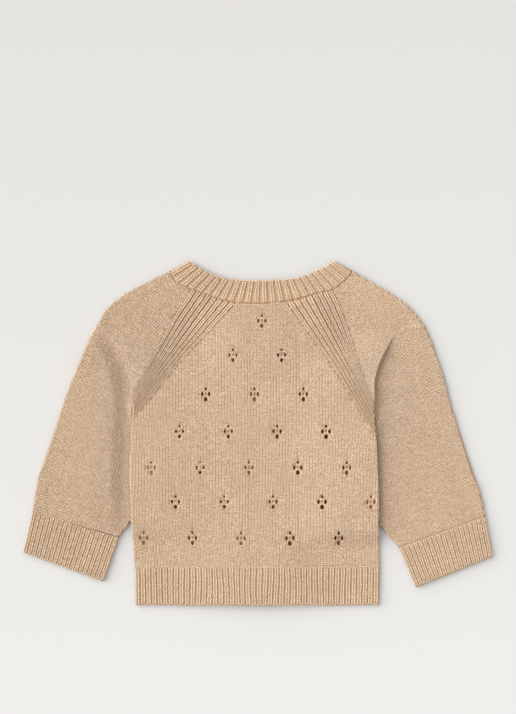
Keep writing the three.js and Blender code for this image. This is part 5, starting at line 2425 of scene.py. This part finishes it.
@dataclass(frozen=True)
class Studio:
    """Pale floor, soft light from the upper left and a camera straight above.

    Attributes:
        camera_at: Place of the camera in metres.
        frame_height: Height of the picture's field on the floor in metres.
        sensor: Size of the camera's sensor in millimetres.
        key_from: Direction from which the key light comes.
        key_angle: Width of the key light in degrees, which softens its shadows.
        key_power: Strength of the key light.
        sky: Strength of the even light from all round.
        floor_half: Half the floor's size in metres.
        floor_lit_low: The floor's colour below the hem, the lit end of its painted light falloff.
        floor_shaded_high: Its colour above the neck, darker: painted shade.
    """

    camera_at: tuple[float, float, float] = (0.00045, 0.0684, 1.6)
    frame_height: float = 0.6426
    sensor: float = 36.0
    key_from: tuple[float, float, float] = (-1.0, 0.35, 0.69)
    key_angle: float = 72.0
    key_power: float = 3.3
    sky: float = 0.7
    floor_half: float = 2.0
    floor_lit_low: tuple[float, ...] = (0.69, 0.684, 0.676, 1.0)
    floor_shaded_high: tuple[float, ...] = (0.622, 0.612, 0.602, 1.0)

    def floor(self) -> None:
        """Makes the surface that the garment lies on, its colour darkening towards the top: painted shade
        of the light's falloff.
        """
        shader = Shader("paper")
        place = shader.place()
        apart = shader.node("ShaderNodeSeparateXYZ", {}, {"Vector": place}, "Y")
        # Painted shade: the floor's colour darkens from the hem towards the neck.
        share = (apart + 0.25) * 1.6
        blend = shader.blend(self.floor_lit_low, self.floor_shaded_high, share)
        shader.put(shader.principled.inputs["Base Color"], blend)
        shader.put(shader.principled.inputs["Roughness"], 0.95)
        shader.put(shader.principled.inputs["Specular IOR Level"], 0.1)
        half = self.floor_half
        mesh = bpy.data.meshes.new("floor")
        corners = [(-half, -half, 0.0), (half, -half, 0.0), (half, half, 0.0), (-half, half, 0.0)]
        mesh.from_pydata(corners, [], [(0, 1, 2, 3)])
        mesh.materials.append(shader.material)
        made = bpy.data.objects.new("floor", mesh)
        bpy.context.scene.collection.objects.link(made)

    def light(self) -> None:
        """Makes the soft key light and the even sky."""
        lamp = bpy.data.lights.new("key", "SUN")
        lamp.angle = math.radians(self.key_angle)
        lamp.energy = self.key_power
        lamp.color = (1.0, 0.985, 0.96)
        made = bpy.data.objects.new("key", lamp)
        made.location = self.key_from
        made.rotation_euler = (-Vector(self.key_from)).to_track_quat("-Z", "Y").to_euler()
        bpy.context.scene.collection.objects.link(made)
        world = bpy.data.worlds.new("sky")
        world.use_nodes = True
        world.node_tree.nodes["Background"].inputs["Color"].default_value = (1.0, 1.0, 1.0, 1.0)
        world.node_tree.nodes["Background"].inputs["Strength"].default_value = self.sky
        bpy.context.scene.world = world

    def camera(self) -> None:
        """Makes the camera and the plain view transform."""
        data = bpy.data.cameras.new("camera")
        data.sensor_width = self.sensor
        data.lens = self.sensor * self.camera_at[2] / self.frame_height
        made = bpy.data.objects.new("camera", data)
        made.location = self.camera_at
        bpy.context.scene.collection.objects.link(made)
        scene = bpy.context.scene
        scene.camera = made
        scene.view_settings.view_transform = "Standard"
        scene.view_settings.look = "None"

    def build(self) -> None:
        """Makes the whole set."""
        self.floor()
        self.light()
        self.camera()


def main() -> None:
    """Builds the cardigan piece by piece, and the set round it."""
    logging.basicConfig(level=logging.INFO, format="%(message)s")
    shop = Workshop()
    for side in (LEFT, RIGHT):
        Front(side).build(shop)
    Hem().build(shop)
    Back().build(shop)
    for side in (LEFT, RIGHT):
        Sleeve(side).build(shop)
        Cuff(side).build(shop)
    Neckband().build(shop)
    Bands().build(shop)
    Buttons().build(shop)
    Seams().build(shop)
    Studio().build()


if __name__ == "__main__":
    main()
